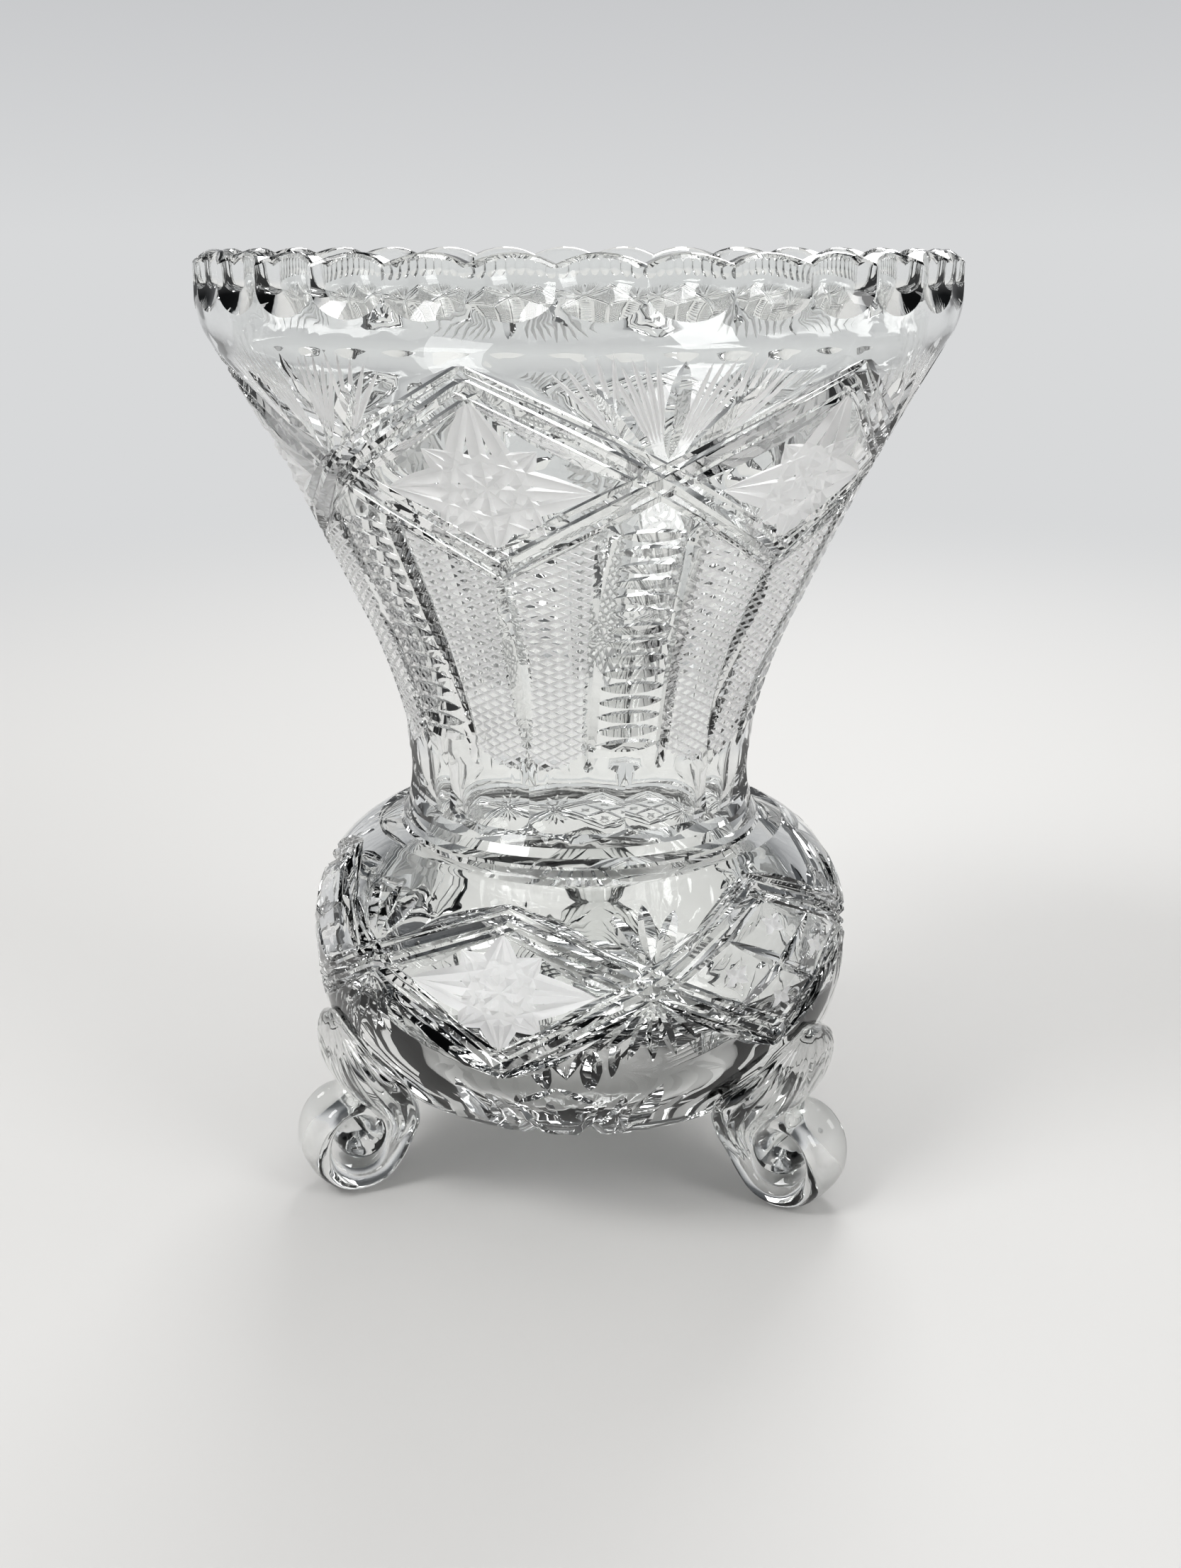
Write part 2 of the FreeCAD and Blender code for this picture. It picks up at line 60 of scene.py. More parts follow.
class Ground(Enum):
    """How a cut is left by the cutter; the value is its material slot on the vessel."""

    POLISHED = 0
    SATIN = 1


class Shape(Enum):
    """The plan of a mitre cut."""

    LEAF = "pointed at both ends"
    BAR = "straight sides with short points"


# --------------------------------------------------------------------------- the blown wall


def arc_points(start: Point, end: Point, radius: float, bulge: int, count: int = 40) -> list[Point]:
    """Points on an arc.

    Args:
        start: First point, (radius, height).
        end: Last point.
        radius: The arc's radius.
        bulge: 1 if its middle lies to the left of the way from start to end, else -1.
        count: How many spans it gets.

    Returns:
        The points after the first one.
    """
    first, last = Vector(start), Vector(end)
    half = (last - first) / 2
    side = Vector((-half.y, half.x)).normalized() * bulge
    centre = (first + last) / 2 - side * math.sqrt(max(radius**2 - half.length**2, 0.0))
    turn = (last - centre).angle_signed(first - centre)
    arm = first - centre
    spans = (index / count * turn for index in range(1, count + 1))
    return [tuple(centre + Matrix.Rotation(angle, 2) @ arm) for angle in spans]


@dataclass(frozen=True)
class Wall:
    """The vessel of revolution before it is cut: sizes, and corners as (radius, height).

    A field whose name ends in curve is an arc's radius. At the foot of the upright rim band, turn
    and inner_turn say how far in and how far down the flare begins, and turn_rise and inner_rise
    how far up the band does.
    """

    height: float = 204.99
    rim_radius: float = 79.98
    rim_wall: float = 5.5
    rim_band: float = 13.0
    lip_round: float = 0.9
    lip_corner: float = 0.3
    turn: Point = (2.0, 3.9)
    turn_rise: float = 4.4
    turn_curve: float = 18.0
    inner_turn: Point = (5.5, 10.1)
    inner_rise: float = 11.0
    inner_curve: float = 45.0
    flare_curve: float = 560.0
    middle: Point = (49.2, 132.5)
    stem_curve: float = 122.0
    trumpet_wall: float = 5.6
    waist_radius: float = 38.9
    waist_top: float = 104.0
    waist_bottom: float = 86.0
    waist_wall: float = 6.6
    neck_flare: Point = (2.0, 4.5)
    bead_radius: float = 40.2
    bead_height: float = 2.6
    shoulder: Point = (46.0, 80.6)
    shoulder_curve: float = 26.0
    bulb: Point = (61.0, 53.0)
    bulb_wall: float = 7.6
    lower: Point = (54.4, 30.0)
    lower_curve: float = 38.0
    base: Point = (30.0, 17.5)
    base_thickness: float = 13.0
    under_curve: float = 34.0
    floor_radius: float = 30.0
    pole_radius: float = 5.0

    def outside(self) -> np.ndarray:
        """The outer wall, from near the base's centre up to the lip.

        Returns:
            Its points, (radius, height).
        """
        way = [(self.pole_radius, self.base[1]), self.base]
        way += arc_points(self.base, self.lower, self.under_curve, -1)
        way += arc_points(self.lower, self.bulb, self.lower_curve, -1)
        way += arc_points(self.bulb, self.shoulder, self.shoulder_curve, -1)
        # The bead's foot, its upright face and its slope to the waist, in bead heights down.
        for radius, down in ((self.bead_radius + 0.6, 2.0), (self.bead_radius, 1.8),
                             (self.bead_radius, 1.1), (self.waist_radius, 0.4)):
            way.append((radius, self.waist_bottom - down * self.bead_height))
        way += [(self.waist_radius, self.waist_top)]
        way += arc_points((self.waist_radius, self.waist_top), self.middle, self.stem_curve, 1)
        corner = self.height - self.rim_band
        brow = (self.rim_radius - self.turn[0], corner - self.turn[1])
        way += arc_points(self.middle, brow, self.flare_curve, 1)
        upright = (self.rim_radius, corner + self.turn_rise)
        way += arc_points(brow, upright, self.turn_curve, -1, 12)
        way += [(self.rim_radius, self.height - self.lip_round)]
        return np.array(way)

    def inside(self) -> list[Point]:
        """The way over the lip and down the inner wall to near the floor's centre.

        Returns:
            Its points, (radius, height).
        """
        lip, rim = self.lip_round, self.rim_radius
        inner = rim - self.rim_wall
        corner = self.lip_corner * lip
        way = [(rim - corner, self.height - corner), (rim - lip, self.height)]
        way += [(inner + lip, self.height), (inner + corner, self.height - corner)]
        step, drop = self.inner_turn
        upper = (inner, self.height - self.rim_band + self.inner_rise)
        band = (inner - step, self.height - self.rim_band - drop)
        way += [(inner, self.height - lip), upper]
        way += arc_points(upper, band, self.inner_curve, 1, 12)
        middle = (self.middle[0] - self.trumpet_wall, self.middle[1])
        neck = self.waist_radius - self.waist_wall
        way += arc_points(band, middle, self.flare_curve, -1, 16)
        way += arc_points(middle, (neck, self.waist_top), self.stem_curve, -1, 10)
        way += [(neck, (self.waist_top + self.waist_bottom) / 2), (neck, self.waist_bottom)]
        shoulder = (self.shoulder[0] - self.bulb_wall, self.shoulder[1] - self.bulb_wall)
        bulb = (self.bulb[0] - self.bulb_wall, self.bulb[1])
        way += [(neck + self.neck_flare[0], self.waist_bottom - self.neck_flare[1]), shoulder]
        way += arc_points(shoulder, bulb, self.shoulder_curve, 1, 8)
        floor = self.base[1] + self.base_thickness
        way += arc_points(bulb, (self.floor_radius, floor), self.lower_curve, 1, 12)
        way += [(self.floor_radius * 0.6, floor), (self.floor_radius * 0.2, floor)]
        return way


class Track:
    """The outer wall as a path: place and inward direction by distance along it."""

    def __init__(self, wall: Wall) -> None:
        """Measures the path.

        Args:
            wall: The blown wall.
        """
        self.wall = wall
        points = wall.outside()
        steps = np.hypot(*np.diff(points, axis=0).T)
        self.along = np.concatenate([[0.0], np.cumsum(steps)])
        self.radius, self.height = points[:, 0], points[:, 1]
        slope = np.gradient(points, self.along, axis=0)
        slope /= np.hypot(*slope.T)[:, None]
        self.inward = np.stack([-slope[:, 1], slope[:, 0]], axis=1)

    @property
    def length(self) -> float:
        """The whole length of the path."""
        return float(self.along[-1])

    def at_height(self, height: float) -> float:
        """The distance along the wall at a height."""
        return float(np.interp(height, self.height, self.along))

    def degree(self, along: float) -> float:
        """How many millimetres one degree of azimuth measures at a place on the wall."""
        return math.radians(float(np.interp(along, self.along, self.radius)))

    def surface(self, along: np.ndarray, depth: np.ndarray) -> tuple[np.ndarray, np.ndarray]:
        """Radius and height of points cut to a depth.

        Args:
            along: Distances along the wall.
            depth: Depths of cut below the blown surface.

        Returns:
            The radii and the heights.
        """
        out_r = np.interp(along, self.along, self.inward[:, 0])
        out_z = np.interp(along, self.along, self.inward[:, 1])
        radius = np.interp(along, self.along, self.radius) + out_r * depth
        return radius, np.interp(along, self.along, self.height) + out_z * depth


# --------------------------------------------------------------------------- the cutter's marks


def sides(corners: tuple[Point, ...]) -> list[Line]:
    """The lines round an outline."""
    return list(zip(corners, corners[1:] + corners[:1]))


def clip(first: Point, last: Point, corners: tuple[Point, ...]) -> Line | None:
    """The part of a line inside a convex outline.

    Args:
        first: The line's first point.
        last: Its last point.
        corners: The outline, anticlockwise.

    Returns:
        The part's two ends, or None.
    """
    low, high = 0.0, 1.0
    way = (last[0] - first[0], last[1] - first[1])
    for (x0, y0), (x1, y1) in sides(corners):
        out = (y1 - y0, x0 - x1)
        gap = out[0] * (first[0] - x0) + out[1] * (first[1] - y0)
        pace = out[0] * way[0] + out[1] * way[1]
        if abs(pace) < 1e-12:
            if gap > 1e-9:
                return None
        elif pace > 0:
            high = min(high, -gap / pace)
        else:
            low = max(low, -gap / pace)
    if high - low < 1e-6:
        return None
    return tuple((first[0] + way[0] * share, first[1] + way[1] * share) for share in (low, high))


class Cut:
    """A mark that a wheel leaves on the unrolled wall."""

    ground = Ground.POLISHED

    def edges(self) -> list[Line]:
        """The lines that the wall's mesh has to follow.

        Returns:
            The lines.
        """
        raise NotImplementedError

    def depths(self, points: np.ndarray) -> np.ndarray:
        """How deep the cut is.

        Args:
            points: Places on the unrolled wall.

        Returns:
            The depth at each of them.
        """
        raise NotImplementedError


@dataclass(frozen=True)
class Mitre(Cut):
    """One V-shaped cut; degree is how many millimetres a degree of azimuth measures there."""

    start: Point
    end: Point
    half_width: float
    depth: float
    degree: float
    shape: Shape = Shape.LEAF
    ground: Ground = Ground.POLISHED

    def frame(self) -> tuple[np.ndarray, np.ndarray, float]:
        """Where the cut lies.

        Returns:
            Its first point and its direction in millimetres, and its length.
        """
        scale = np.array([self.degree, 1.0])
        first = np.array(self.start) * scale
        way = np.array(self.end) * scale - first
        length = float(np.hypot(*way))
        return first, way / length, length

    def stations(self, length: float) -> list[Point]:
        """How wide the cut is along its length.

        Args:
            length: Its length.

        Returns:
            Pairs of (share of the length, share of the full width).
        """
        if self.shape is Shape.LEAF:
            return [(0.0, 0.0), (0.1, 0.45), (0.25, 0.8), (0.5, 1.0),
                    (0.75, 0.8), (0.9, 0.45), (1.0, 0.0)]
        point = min(1.6 * self.half_width / length, 0.4)
        return [(0.0, 0.0), (point, 1.0), (1.0 - point, 1.0), (1.0, 0.0)]

    def edges(self) -> list[Line]:
        """The cut's valley and its two rims.

        Returns:
            Short lines along them.
        """
        first, way, length = self.frame()
        across = np.array([-way[1], way[0]])
        scale = np.array([self.degree, 1.0])
        lines = []
        for side in (-1.0, 0.0, 1.0):
            row = [(first + way * share * length + across * side * wide * self.half_width) / scale
                   for share, wide in self.stations(length)]
            lines += [(tuple(a), tuple(b)) for a, b in zip(row, row[1:])]
        return lines

    def depths(self, points: np.ndarray) -> np.ndarray:
        """How deep the cut is.

        Args:
            points: Places on the unrolled wall.

        Returns:
            The depth at each of them.
        """
        first, way, length = self.frame()
        offset = points * np.array([self.degree, 1.0]) - first
        share = offset @ way / length
        aside = np.abs(offset @ np.array([-way[1], way[0]]))
        marks = np.array(self.stations(length))
        wide = np.interp(share, marks[:, 0], marks[:, 1], left=0.0, right=0.0)
        reach = np.maximum(wide * self.half_width, 1e-9)
        return np.where(wide > 0, np.maximum(0.0, 1.0 - aside / reach) * wide * self.depth, 0.0)


@dataclass(frozen=True)
class Thumb(Cut):
    """One hollow thumb cut of the waist, ground by a broad wheel that lies across the wall.

    Attributes:
        azimuth: Azimuth of its middle.
        middle: Height of its middle.
        radius: The wall's radius there.
        wheel: The wheel's radius.
        depth: The cut's depth.
        track: The wall.
        pitch: Degrees to the next thumb cut.
    """

    azimuth: float
    middle: float
    radius: float
    wheel: float
    depth: float
    track: Track
    pitch: float

    def floor(self, height: np.ndarray) -> np.ndarray:
        """The flat of the wheel's bite at a height, as a distance from the axis."""
        reach = np.clip(self.wheel**2 - (height - self.middle) ** 2, 0.0, None)
        return self.radius - self.depth + self.wheel - np.sqrt(reach)

    def edges(self) -> list[Line]:
        """The oval's rim, up to where it meets its neighbours.

        Returns:
            Short lines along it.
        """
        lines = []
        heights = np.linspace(self.middle - self.wheel / 2, self.middle + self.wheel / 2, 121)
        along = np.interp(heights, self.track.height, self.track.along)
        radius = np.interp(along, self.track.along, self.track.radius)
        ratio = self.floor(heights) / radius
        half = np.degrees(np.arccos(np.clip(ratio, -1.0, 1.0)))
        inside = ratio < 1.0
        for side in (-1.0, 1.0):
            row = [(self.azimuth + side * min(h, self.pitch / 2), s)
                   for h, s, ok in zip(half, along, inside) if ok][::4]
            lines += list(zip(row, row[1:]))
        return lines

    def depths(self, points: np.ndarray) -> np.ndarray:
        """How deep the cut is.

        Args:
            points: Places on the unrolled wall.

        Returns:
            The depth at each of them.
        """
        turn = np.radians(points[:, 0] - self.azimuth)
        height = np.interp(points[:, 1], self.track.along, self.track.height)
        radius = np.interp(points[:, 1], self.track.along, self.track.radius)
        near = (np.abs(height - self.middle) < self.wheel / 2) & (np.abs(turn) < math.radians(30))
        bite = radius - self.floor(height) / np.maximum(np.cos(turn), 0.5)
        return np.where(near, np.maximum(bite, 0.0), 0.0)


@dataclass
class Zone:
    """A stretch of the wall, drawn once between two mirror lines and repeated round it.

    Attributes:
        name: Its name in the log.
        track: The wall.
        low: The distance along the wall at which it starts.
        high: The distance at which it ends.
        half_turn: Degrees from one mirror line to the other.
        phase: Azimuth of the first mirror line.
        column: Degrees from one column of mesh points to the next.
        row: Millimetres from one row of mesh points to the next.
        fine: Into how many each column is split inside the zone.
        cell: Side of the cells that keep those points off the drawn lines.
        cuts: What is cut into it.
    """

    name: str
    track: Track
    low: float
    high: float
    half_turn: float
    phase: float
    column: float = 1.875
    row: float = 2.4
    fine: int = 1
    cell: float = 0.5
    cuts: list[Cut] = field(default_factory=list)

    def drawing(self) -> tuple[list[Vector], list[tuple[int, int]]]:
        """What the zone's mesh has to follow.

        Returns:
            The points, and each line as the numbers of its two points.
        """
        across = round(self.half_turn / self.column) * self.fine
        up = max(2, round((self.high - self.low) / self.row))
        columns = [index * self.column / self.fine for index in range(across + 1)]
        rows = [self.low + (self.high - self.low) * index / up for index in range(up + 1)]
        corners = ((0.0, self.low), (self.half_turn, self.low),
                   (self.half_turn, self.high), (0.0, self.high))
        parts = [clip(*line, corners) for cut in self.cuts for line in cut.edges()]
        drawn = [part for part in parts if part]
        points = [end for line in sides(corners) + drawn for end in line]
        lines = [(index, index + 1) for index in range(0, len(points), 2)]
        taken = self.sampled(drawn)
        for index, x in enumerate(columns):
            for y in rows:
                border = y in (rows[0], rows[-1])
                if index % self.fine == 0 if border else self.is_free((x, y), taken):
                    points.append((x, y))
        return [Vector(point) for point in points], lines

    def sampled(self, lines: list[Line]) -> set[tuple[int, int]]:
        """Finds the cells of the unrolled wall that lines pass through.

        Args:
            lines: The lines.

        Returns:
            The cells' numbers, across and up.
        """
        cells = set()
        for (x0, y0), (x1, y1) in lines:
            count = max(1, int(math.hypot(x1 - x0, y1 - y0) / (0.6 * self.cell)))
            for share in (index / count for index in range(count + 1)):
                cells.add((round((x0 + (x1 - x0) * share) / self.cell),
                           round((y0 + (y1 - y0) * share) / self.cell)))
        return cells

    def is_free(self, point: Point, taken: set[tuple[int, int]]) -> bool:
        """Whether no line passes close to a point."""
        x, y = (round(value / self.cell) for value in point)
        return not any((x + dx, y + dy) in taken for dx in (-1, 0, 1) for dy in (-1, 0, 1))

    def build(self) -> bmesh.types.BMesh:
        """Cuts the zone and wraps it round the axis.

        Returns:
            The whole ring, in millimetres.
        """
        points, lines = self.drawing()
        flat, _, faces, *_ = delaunay_2d_cdt(points, lines, [], 1, HAIR)
        places = np.array([tuple(point) for point in flat])
        for line in (0.0, self.half_turn):
            places[np.abs(places[:, 0] - line) < 10 * HAIR, 0] = line
        faces = [face for face in faces if np.ptp(places[list(face), 0]) > 0]
        middles = np.array([places[list(face)].mean(axis=0) for face in faces])
        best = np.full(len(middles), HAIR)
        ground = np.zeros(len(middles), dtype=int)
        depth = np.zeros(len(places))
        for cut in self.cuts:
            depth = np.maximum(depth, cut.depths(places))
            here = cut.depths(middles)
            ground = np.where(here > best, cut.ground.value, ground)
            best = np.maximum(best, here)
        radius, height = self.track.surface(places[:, 1], depth)
        turn = np.radians(places[:, 0])
        mesh = bmesh.new()
        corners = [mesh.verts.new((r * math.sin(a), -r * math.cos(a), z))
                   for r, a, z in zip(radius, turn, height)]
        for face, kind in zip(faces, ground):
            if len(set(face)) == 3:
                mesh.faces.new([corners[index] for index in face]).material_index = int(kind)
        self.repeat(mesh)
        LOG.info("zone %s: %d cuts, %d faces", self.name, len(self.cuts), len(mesh.faces))
        return mesh

    def repeat(self, mesh: bmesh.types.BMesh) -> None:
        """Mirrors the drawn part and repeats it round the axis.

        Args:
            mesh: The drawn part, which grows to the whole ring.
        """
        sector = mesh.verts[:] + mesh.edges[:] + mesh.faces[:]
        copy = bmesh.ops.duplicate(mesh, geom=sector)["geom"]
        twins = [item for item in copy if isinstance(item, bmesh.types.BMVert)]
        bmesh.ops.scale(mesh, vec=(-1, 1, 1), verts=twins)
        flipped = [item for item in copy if isinstance(item, bmesh.types.BMFace)]
        bmesh.ops.reverse_faces(mesh, faces=flipped)
        count = round(180 / self.half_turn)
        whole = mesh.verts[:] + mesh.edges[:] + mesh.faces[:]
        step = math.radians(2 * self.half_turn)
        bmesh.ops.spin(mesh, geom=whole, cent=(0, 0, 0), axis=(0, 0, 1), steps=count - 1,
                       angle=step * (count - 1), use_duplicate=True)
        bmesh.ops.rotate(mesh, cent=(0, 0, 0), verts=mesh.verts,
                         matrix=Matrix.Rotation(math.radians(self.phase), 3, "Z"))
        bmesh.ops.remove_doubles(mesh, verts=mesh.verts, dist=WELD)


# --------------------------------------------------------------------------- the pattern


@dataclass(frozen=True)
class Pattern:
    """Where the cut bands lie; azimuths count from the front, heights from the table."""

    star_azimuth: float = -16.0
    foot_azimuth: float = 55.0
    flute_foot: float = 193.4
    flute_count: int = 32
    flute_phase: float = 8.375
    flute_depth: float = 2.6
    flute_runout: float = 6.2
    scallop_rise: float = 1.9
    thumb_count: int = 12
    thumb_depth: float = 1.8
    thumb_wheel: float = 22.0
    upper_top: float = 188.0
    bulb_top: float = 79.5
    bulb_low: float = 41.0


@dataclass(frozen=True)
class Hatch(Cut):
    """A panel of fine crossing mitres with small polished lozenges left between them.

    Attributes:
        corners: Its corners on the unrolled wall, anticlockwise.
        origin: A point where two mitres cross.
        pitch: The distance from mitre to mitre.
        slope: Degrees that they rise from level.
        half_width: Half a mitre's width.
        depth: A mitre's depth.
        degree: How many millimetres a degree of azimuth measures there.
        ground: How they are left.
    """

    corners: tuple[Point, ...]
    origin: Point
    pitch: float
    slope: float
    half_width: float
    depth: float
    degree: float
    ground: Ground = Ground.SATIN

    def normals(self) -> np.ndarray:
        """The two families' directions of advance."""
        turn = math.radians(self.slope)
        return np.array([(-math.sin(turn), math.cos(turn)), (math.sin(turn), math.cos(turn))])

    def steps(self, points: np.ndarray) -> np.ndarray:
        """Each point's place in the two families, counted in lines."""
        offset = (np.atleast_2d(points) - self.origin) * np.array([self.degree, 1.0])
        return offset @ self.normals().T / self.pitch

    def place(self, first: float, second: float) -> Point:
        """The point at a place in the two families."""
        offset = np.linalg.solve(self.normals(), np.array([first, second]) * self.pitch)
        return (self.origin[0] + offset[0] / self.degree, self.origin[1] + offset[1])

    def holds(self, points: np.ndarray) -> np.ndarray:
        """Finds the points that lie inside the panel.

        Args:
            points: Places on the unrolled wall.

        Returns:
            Whether each lies inside.
        """
        inside = np.ones(len(points), dtype=bool)
        for (x0, y0), (x1, y1) in sides(self.corners):
            way = (x1 - x0) * (points[:, 1] - y0) - (y1 - y0) * (points[:, 0] - x0)
            inside &= way > 1e-6
        return inside

    def spans(self) -> list[range]:
        """The lines that cross the panel.

        Returns:
            Their numbers in each family.
        """
        steps = self.steps(np.array(self.corners))
        return [range(math.floor(low), math.ceil(high) + 1)
                for low, high in zip(steps.min(axis=0), steps.max(axis=0))]

    def edges(self) -> list[Line]:
        """The valleys, their rims and the panel's border.

        Returns:
            The lines.
        """
        first, second = self.spans()
        side = self.half_width / self.pitch
        lines = []
        for shift in (-side, 0.0, side):
            for index in first:
                lines.append((self.place(index + shift, second.start),
                              self.place(index + shift, second.stop)))
            for index in second:
                lines.append((self.place(first.start, index + shift),
                              self.place(first.stop, index + shift)))
        kept = [clip(*line, self.corners) for line in lines]
        return sides(self.corners) + [line for line in kept if line]

    def depths(self, points: np.ndarray) -> np.ndarray:
        """How deep the panel's mitres are.

        Args:
            points: Places on the unrolled wall.

        Returns:
            The depth at each of them.
        """
        steps = self.steps(points)
        aside = np.abs(steps - np.round(steps)).min(axis=1) * self.pitch
        valley = np.maximum(1.0 - aside / self.half_width, 0.0)
        return np.where(self.holds(points), valley * self.depth, 0.0)


class Cutter:
    """Lays the pattern's cuts out in a zone; places are (azimuth in the zone, height)."""

    def __init__(self, zone: Zone) -> None:
        """Starts on a zone.

        Args:
            zone: The zone.
        """
        self.zone = zone
        self.track = zone.track

    def at(self, place: Point) -> Point:
        """A place (azimuth, height) on the unrolled wall."""
        return (place[0], self.track.at_height(place[1]))

    def cut(self, start: Point, end: Point, half_width: float, depth: float,
            shape: Shape = Shape.LEAF, ground: Ground = Ground.POLISHED) -> None:
        """Cuts a mitre between two points of the unrolled wall, and its mirror image.

        Args:
            start: The cut's first point.
            end: Its last point.
            half_width: Half its greatest width.
            depth: Its greatest depth.
            shape: Its plan.
            ground: How it is left.
        """
        zone = self.zone
        margin = 3.0 * half_width / self.track.degree((start[1] + end[1]) / 2)
        copies = [(start, end)]
        if min(start[0], end[0]) < margin:
            copies.append(((-start[0], start[1]), (-end[0], end[1])))
        if max(start[0], end[0]) > zone.half_turn - margin:
            far = 2 * zone.half_turn
            copies.append(((far - start[0], start[1]), (far - end[0], end[1])))
        for first, last in copies:
            if not self.is_there(first, last):
                degree = self.track.degree((first[1] + last[1]) / 2)
                zone.cuts.append(Mitre(first, last, half_width, depth, degree, shape, ground))

    def is_there(self, first: Point, last: Point) -> bool:
        """Whether the zone already has this very cut, from either end.

        Args:
            first: The cut's first point.
            last: Its last point.

        Returns:
            Whether it is there.
        """
        known = [cut for cut in self.zone.cuts if isinstance(cut, Mitre)]
        ways = [way for cut in known for way in ((cut.start, cut.end), (cut.end, cut.start))]
        return any(np.abs(np.subtract(way, (first, last))).max() < 0.02 for way in ways)

    def ray(self, origin: Point, angle: float, start: float, end: float, half_width: float,
            depth: float, shape: Shape = Shape.LEAF, ground: Ground = Ground.POLISHED) -> None:
        """Cuts a mitre that runs away from a point.

        Args:
            origin: The point, (azimuth, height).
            angle: Degrees from straight up towards the right.
            start: Where it begins, in millimetres from the point.
            end: Where it ends.
            half_width: Half its greatest width.
            depth: Its greatest depth.
            shape: Its plan.
            ground: How it is left.
        """
        x, along = self.at(origin)
        degree = self.track.degree(along)
        turn = math.radians(angle)
        ends = [(x + math.sin(turn) * reach / degree, along + math.cos(turn) * reach)
                for reach in (start, end)]
        self.cut(*ends, half_width, depth, shape, ground)

    def band(self, start: Point, end: Point, offsets: tuple[float, ...], half_width: float,
             fine_width: float, depth: float, over: float = 2.0) -> None:
        """Cuts a deep mitre with finer ones beside it.

        Args:
            start: First point, (azimuth, height).
            end: Last point.
            offsets: How far to the side each cut lies; 0 is the deep one.
            half_width: Half the deep cut's width.
            fine_width: Half a finer cut's width.
            depth: The deep cut's depth.
            over: How far the cuts run past both points.
        """
        first, last = np.array(self.at(start)), np.array(self.at(end))
        degree = self.track.degree((first[1] + last[1]) / 2)
        scale = np.array([degree, 1.0])
        way = (last - first) * scale
        way /= np.hypot(*way)
        side = np.array([-way[1], way[0]])
        for offset in offsets:
            wide = half_width if offset == 0 else fine_width
            ends = [tuple(point + (way * push + side * offset) / scale)
                    for point, push in ((first, -over), (last, over))]
            self.cut(*ends, wide, depth * wide / half_width, Shape.BAR)

    def star(self, centre: Point, tips: list[Point], half_width: float, depth: float) -> None:
        """Cuts an eight-pointed star of satin mitres.

        Args:
            centre: Its middle, (azimuth, height).
            tips: Its right tip, upper right, top, lower right and bottom tips.
            half_width: Half a cut's width.
            depth: A cut's depth.
        """
        right, upper, top, lower, bottom = tips
        x = centre[0]
        ring = [right, upper, top, (2 * x - upper[0], upper[1]), (2 * x - right[0], right[1]),
                (2 * x - lower[0], lower[1]), bottom, lower]
        places = [self.at(tip) for tip in ring]
        pairs = [(index, (index + 3) % 8) for index in range(8)]
        pairs += [(index, index + 4) for index in range(4)]
        for first, last in pairs:
            self.cut(places[first], places[last], half_width, depth, ground=Ground.SATIN)

    def hatch(self, corners: list[Point], origin: Point, pitch: float, slope: float,
              half_width: float, depth: float) -> None:
        """Cuts a panel of crossing mitres.

        Args:
            corners: The panel's corners, anticlockwise, each (azimuth, height).
            origin: A point where two mitres cross.
            pitch: The distance from mitre to mitre.
            slope: Degrees that they rise from level.
            half_width: Half a mitre's width.
            depth: A mitre's depth.
        """
        spots = tuple(self.at(corner) for corner in corners)
        middle = sum(spot[1] for spot in spots) / len(spots)
        self.zone.cuts.append(Hatch(spots, self.at(origin), pitch, slope, half_width, depth,
                                    self.track.degree(middle)))

    def beside(self, azimuth: float, height: float, shift: float) -> Point:
        """The point some millimetres to the right of an azimuth, on the unrolled wall."""
        along = self.track.at_height(height)
        return (azimuth + shift / self.track.degree(along), along)


# --------------------------------------------------------------------------- the cut zones


@dataclass(frozen=True)
class Flute(Cut):
    """One hollow flute of the rim, centred on the zone's far edge."""

    half_turn: float
    depth: float
    foot: float
    runout: float

    def edges(self) -> list[Line]:
        """The round foot where the wheel ran out.

        Returns:
            Short lines along it.
        """
        shares = np.sin(np.linspace(0.0, math.pi / 2, 13))
        row = [(self.half_turn * (1 - math.sqrt(1 - share**2)), self.foot - self.runout * share)
               for share in shares]
        return list(zip(row, row[1:]))

    def depths(self, points: np.ndarray) -> np.ndarray:
        """How deep the flute is.

        Args:
            points: Places on the unrolled wall.

        Returns:
            The depth at each of them.
        """
        aside = (self.half_turn - points[:, 0]) / self.half_turn
        fall = np.clip((self.foot - points[:, 1]) / self.runout, 0.0, 2.0)
        return np.maximum(self.depth * (1 - aside**2 - fall**2), 0.0)


def rim_zone(track: Track, plan: Pattern) -> Zone:
    """Draws the upright band with its flutes side by side.

    Args:
        track: The wall.
        plan: The pattern.

    Returns:
        The zone.
    """
    half = 180 / plan.flute_count
    zone = Zone("rim", track, track.at_height(plan.upper_top), track.length, half,
                plan.flute_phase, row=1.2, fine=2)
    foot = track.at_height(plan.flute_foot) + plan.flute_runout
    zone.cuts.append(Flute(half, plan.flute_depth, foot, plan.flute_runout))
    return zone


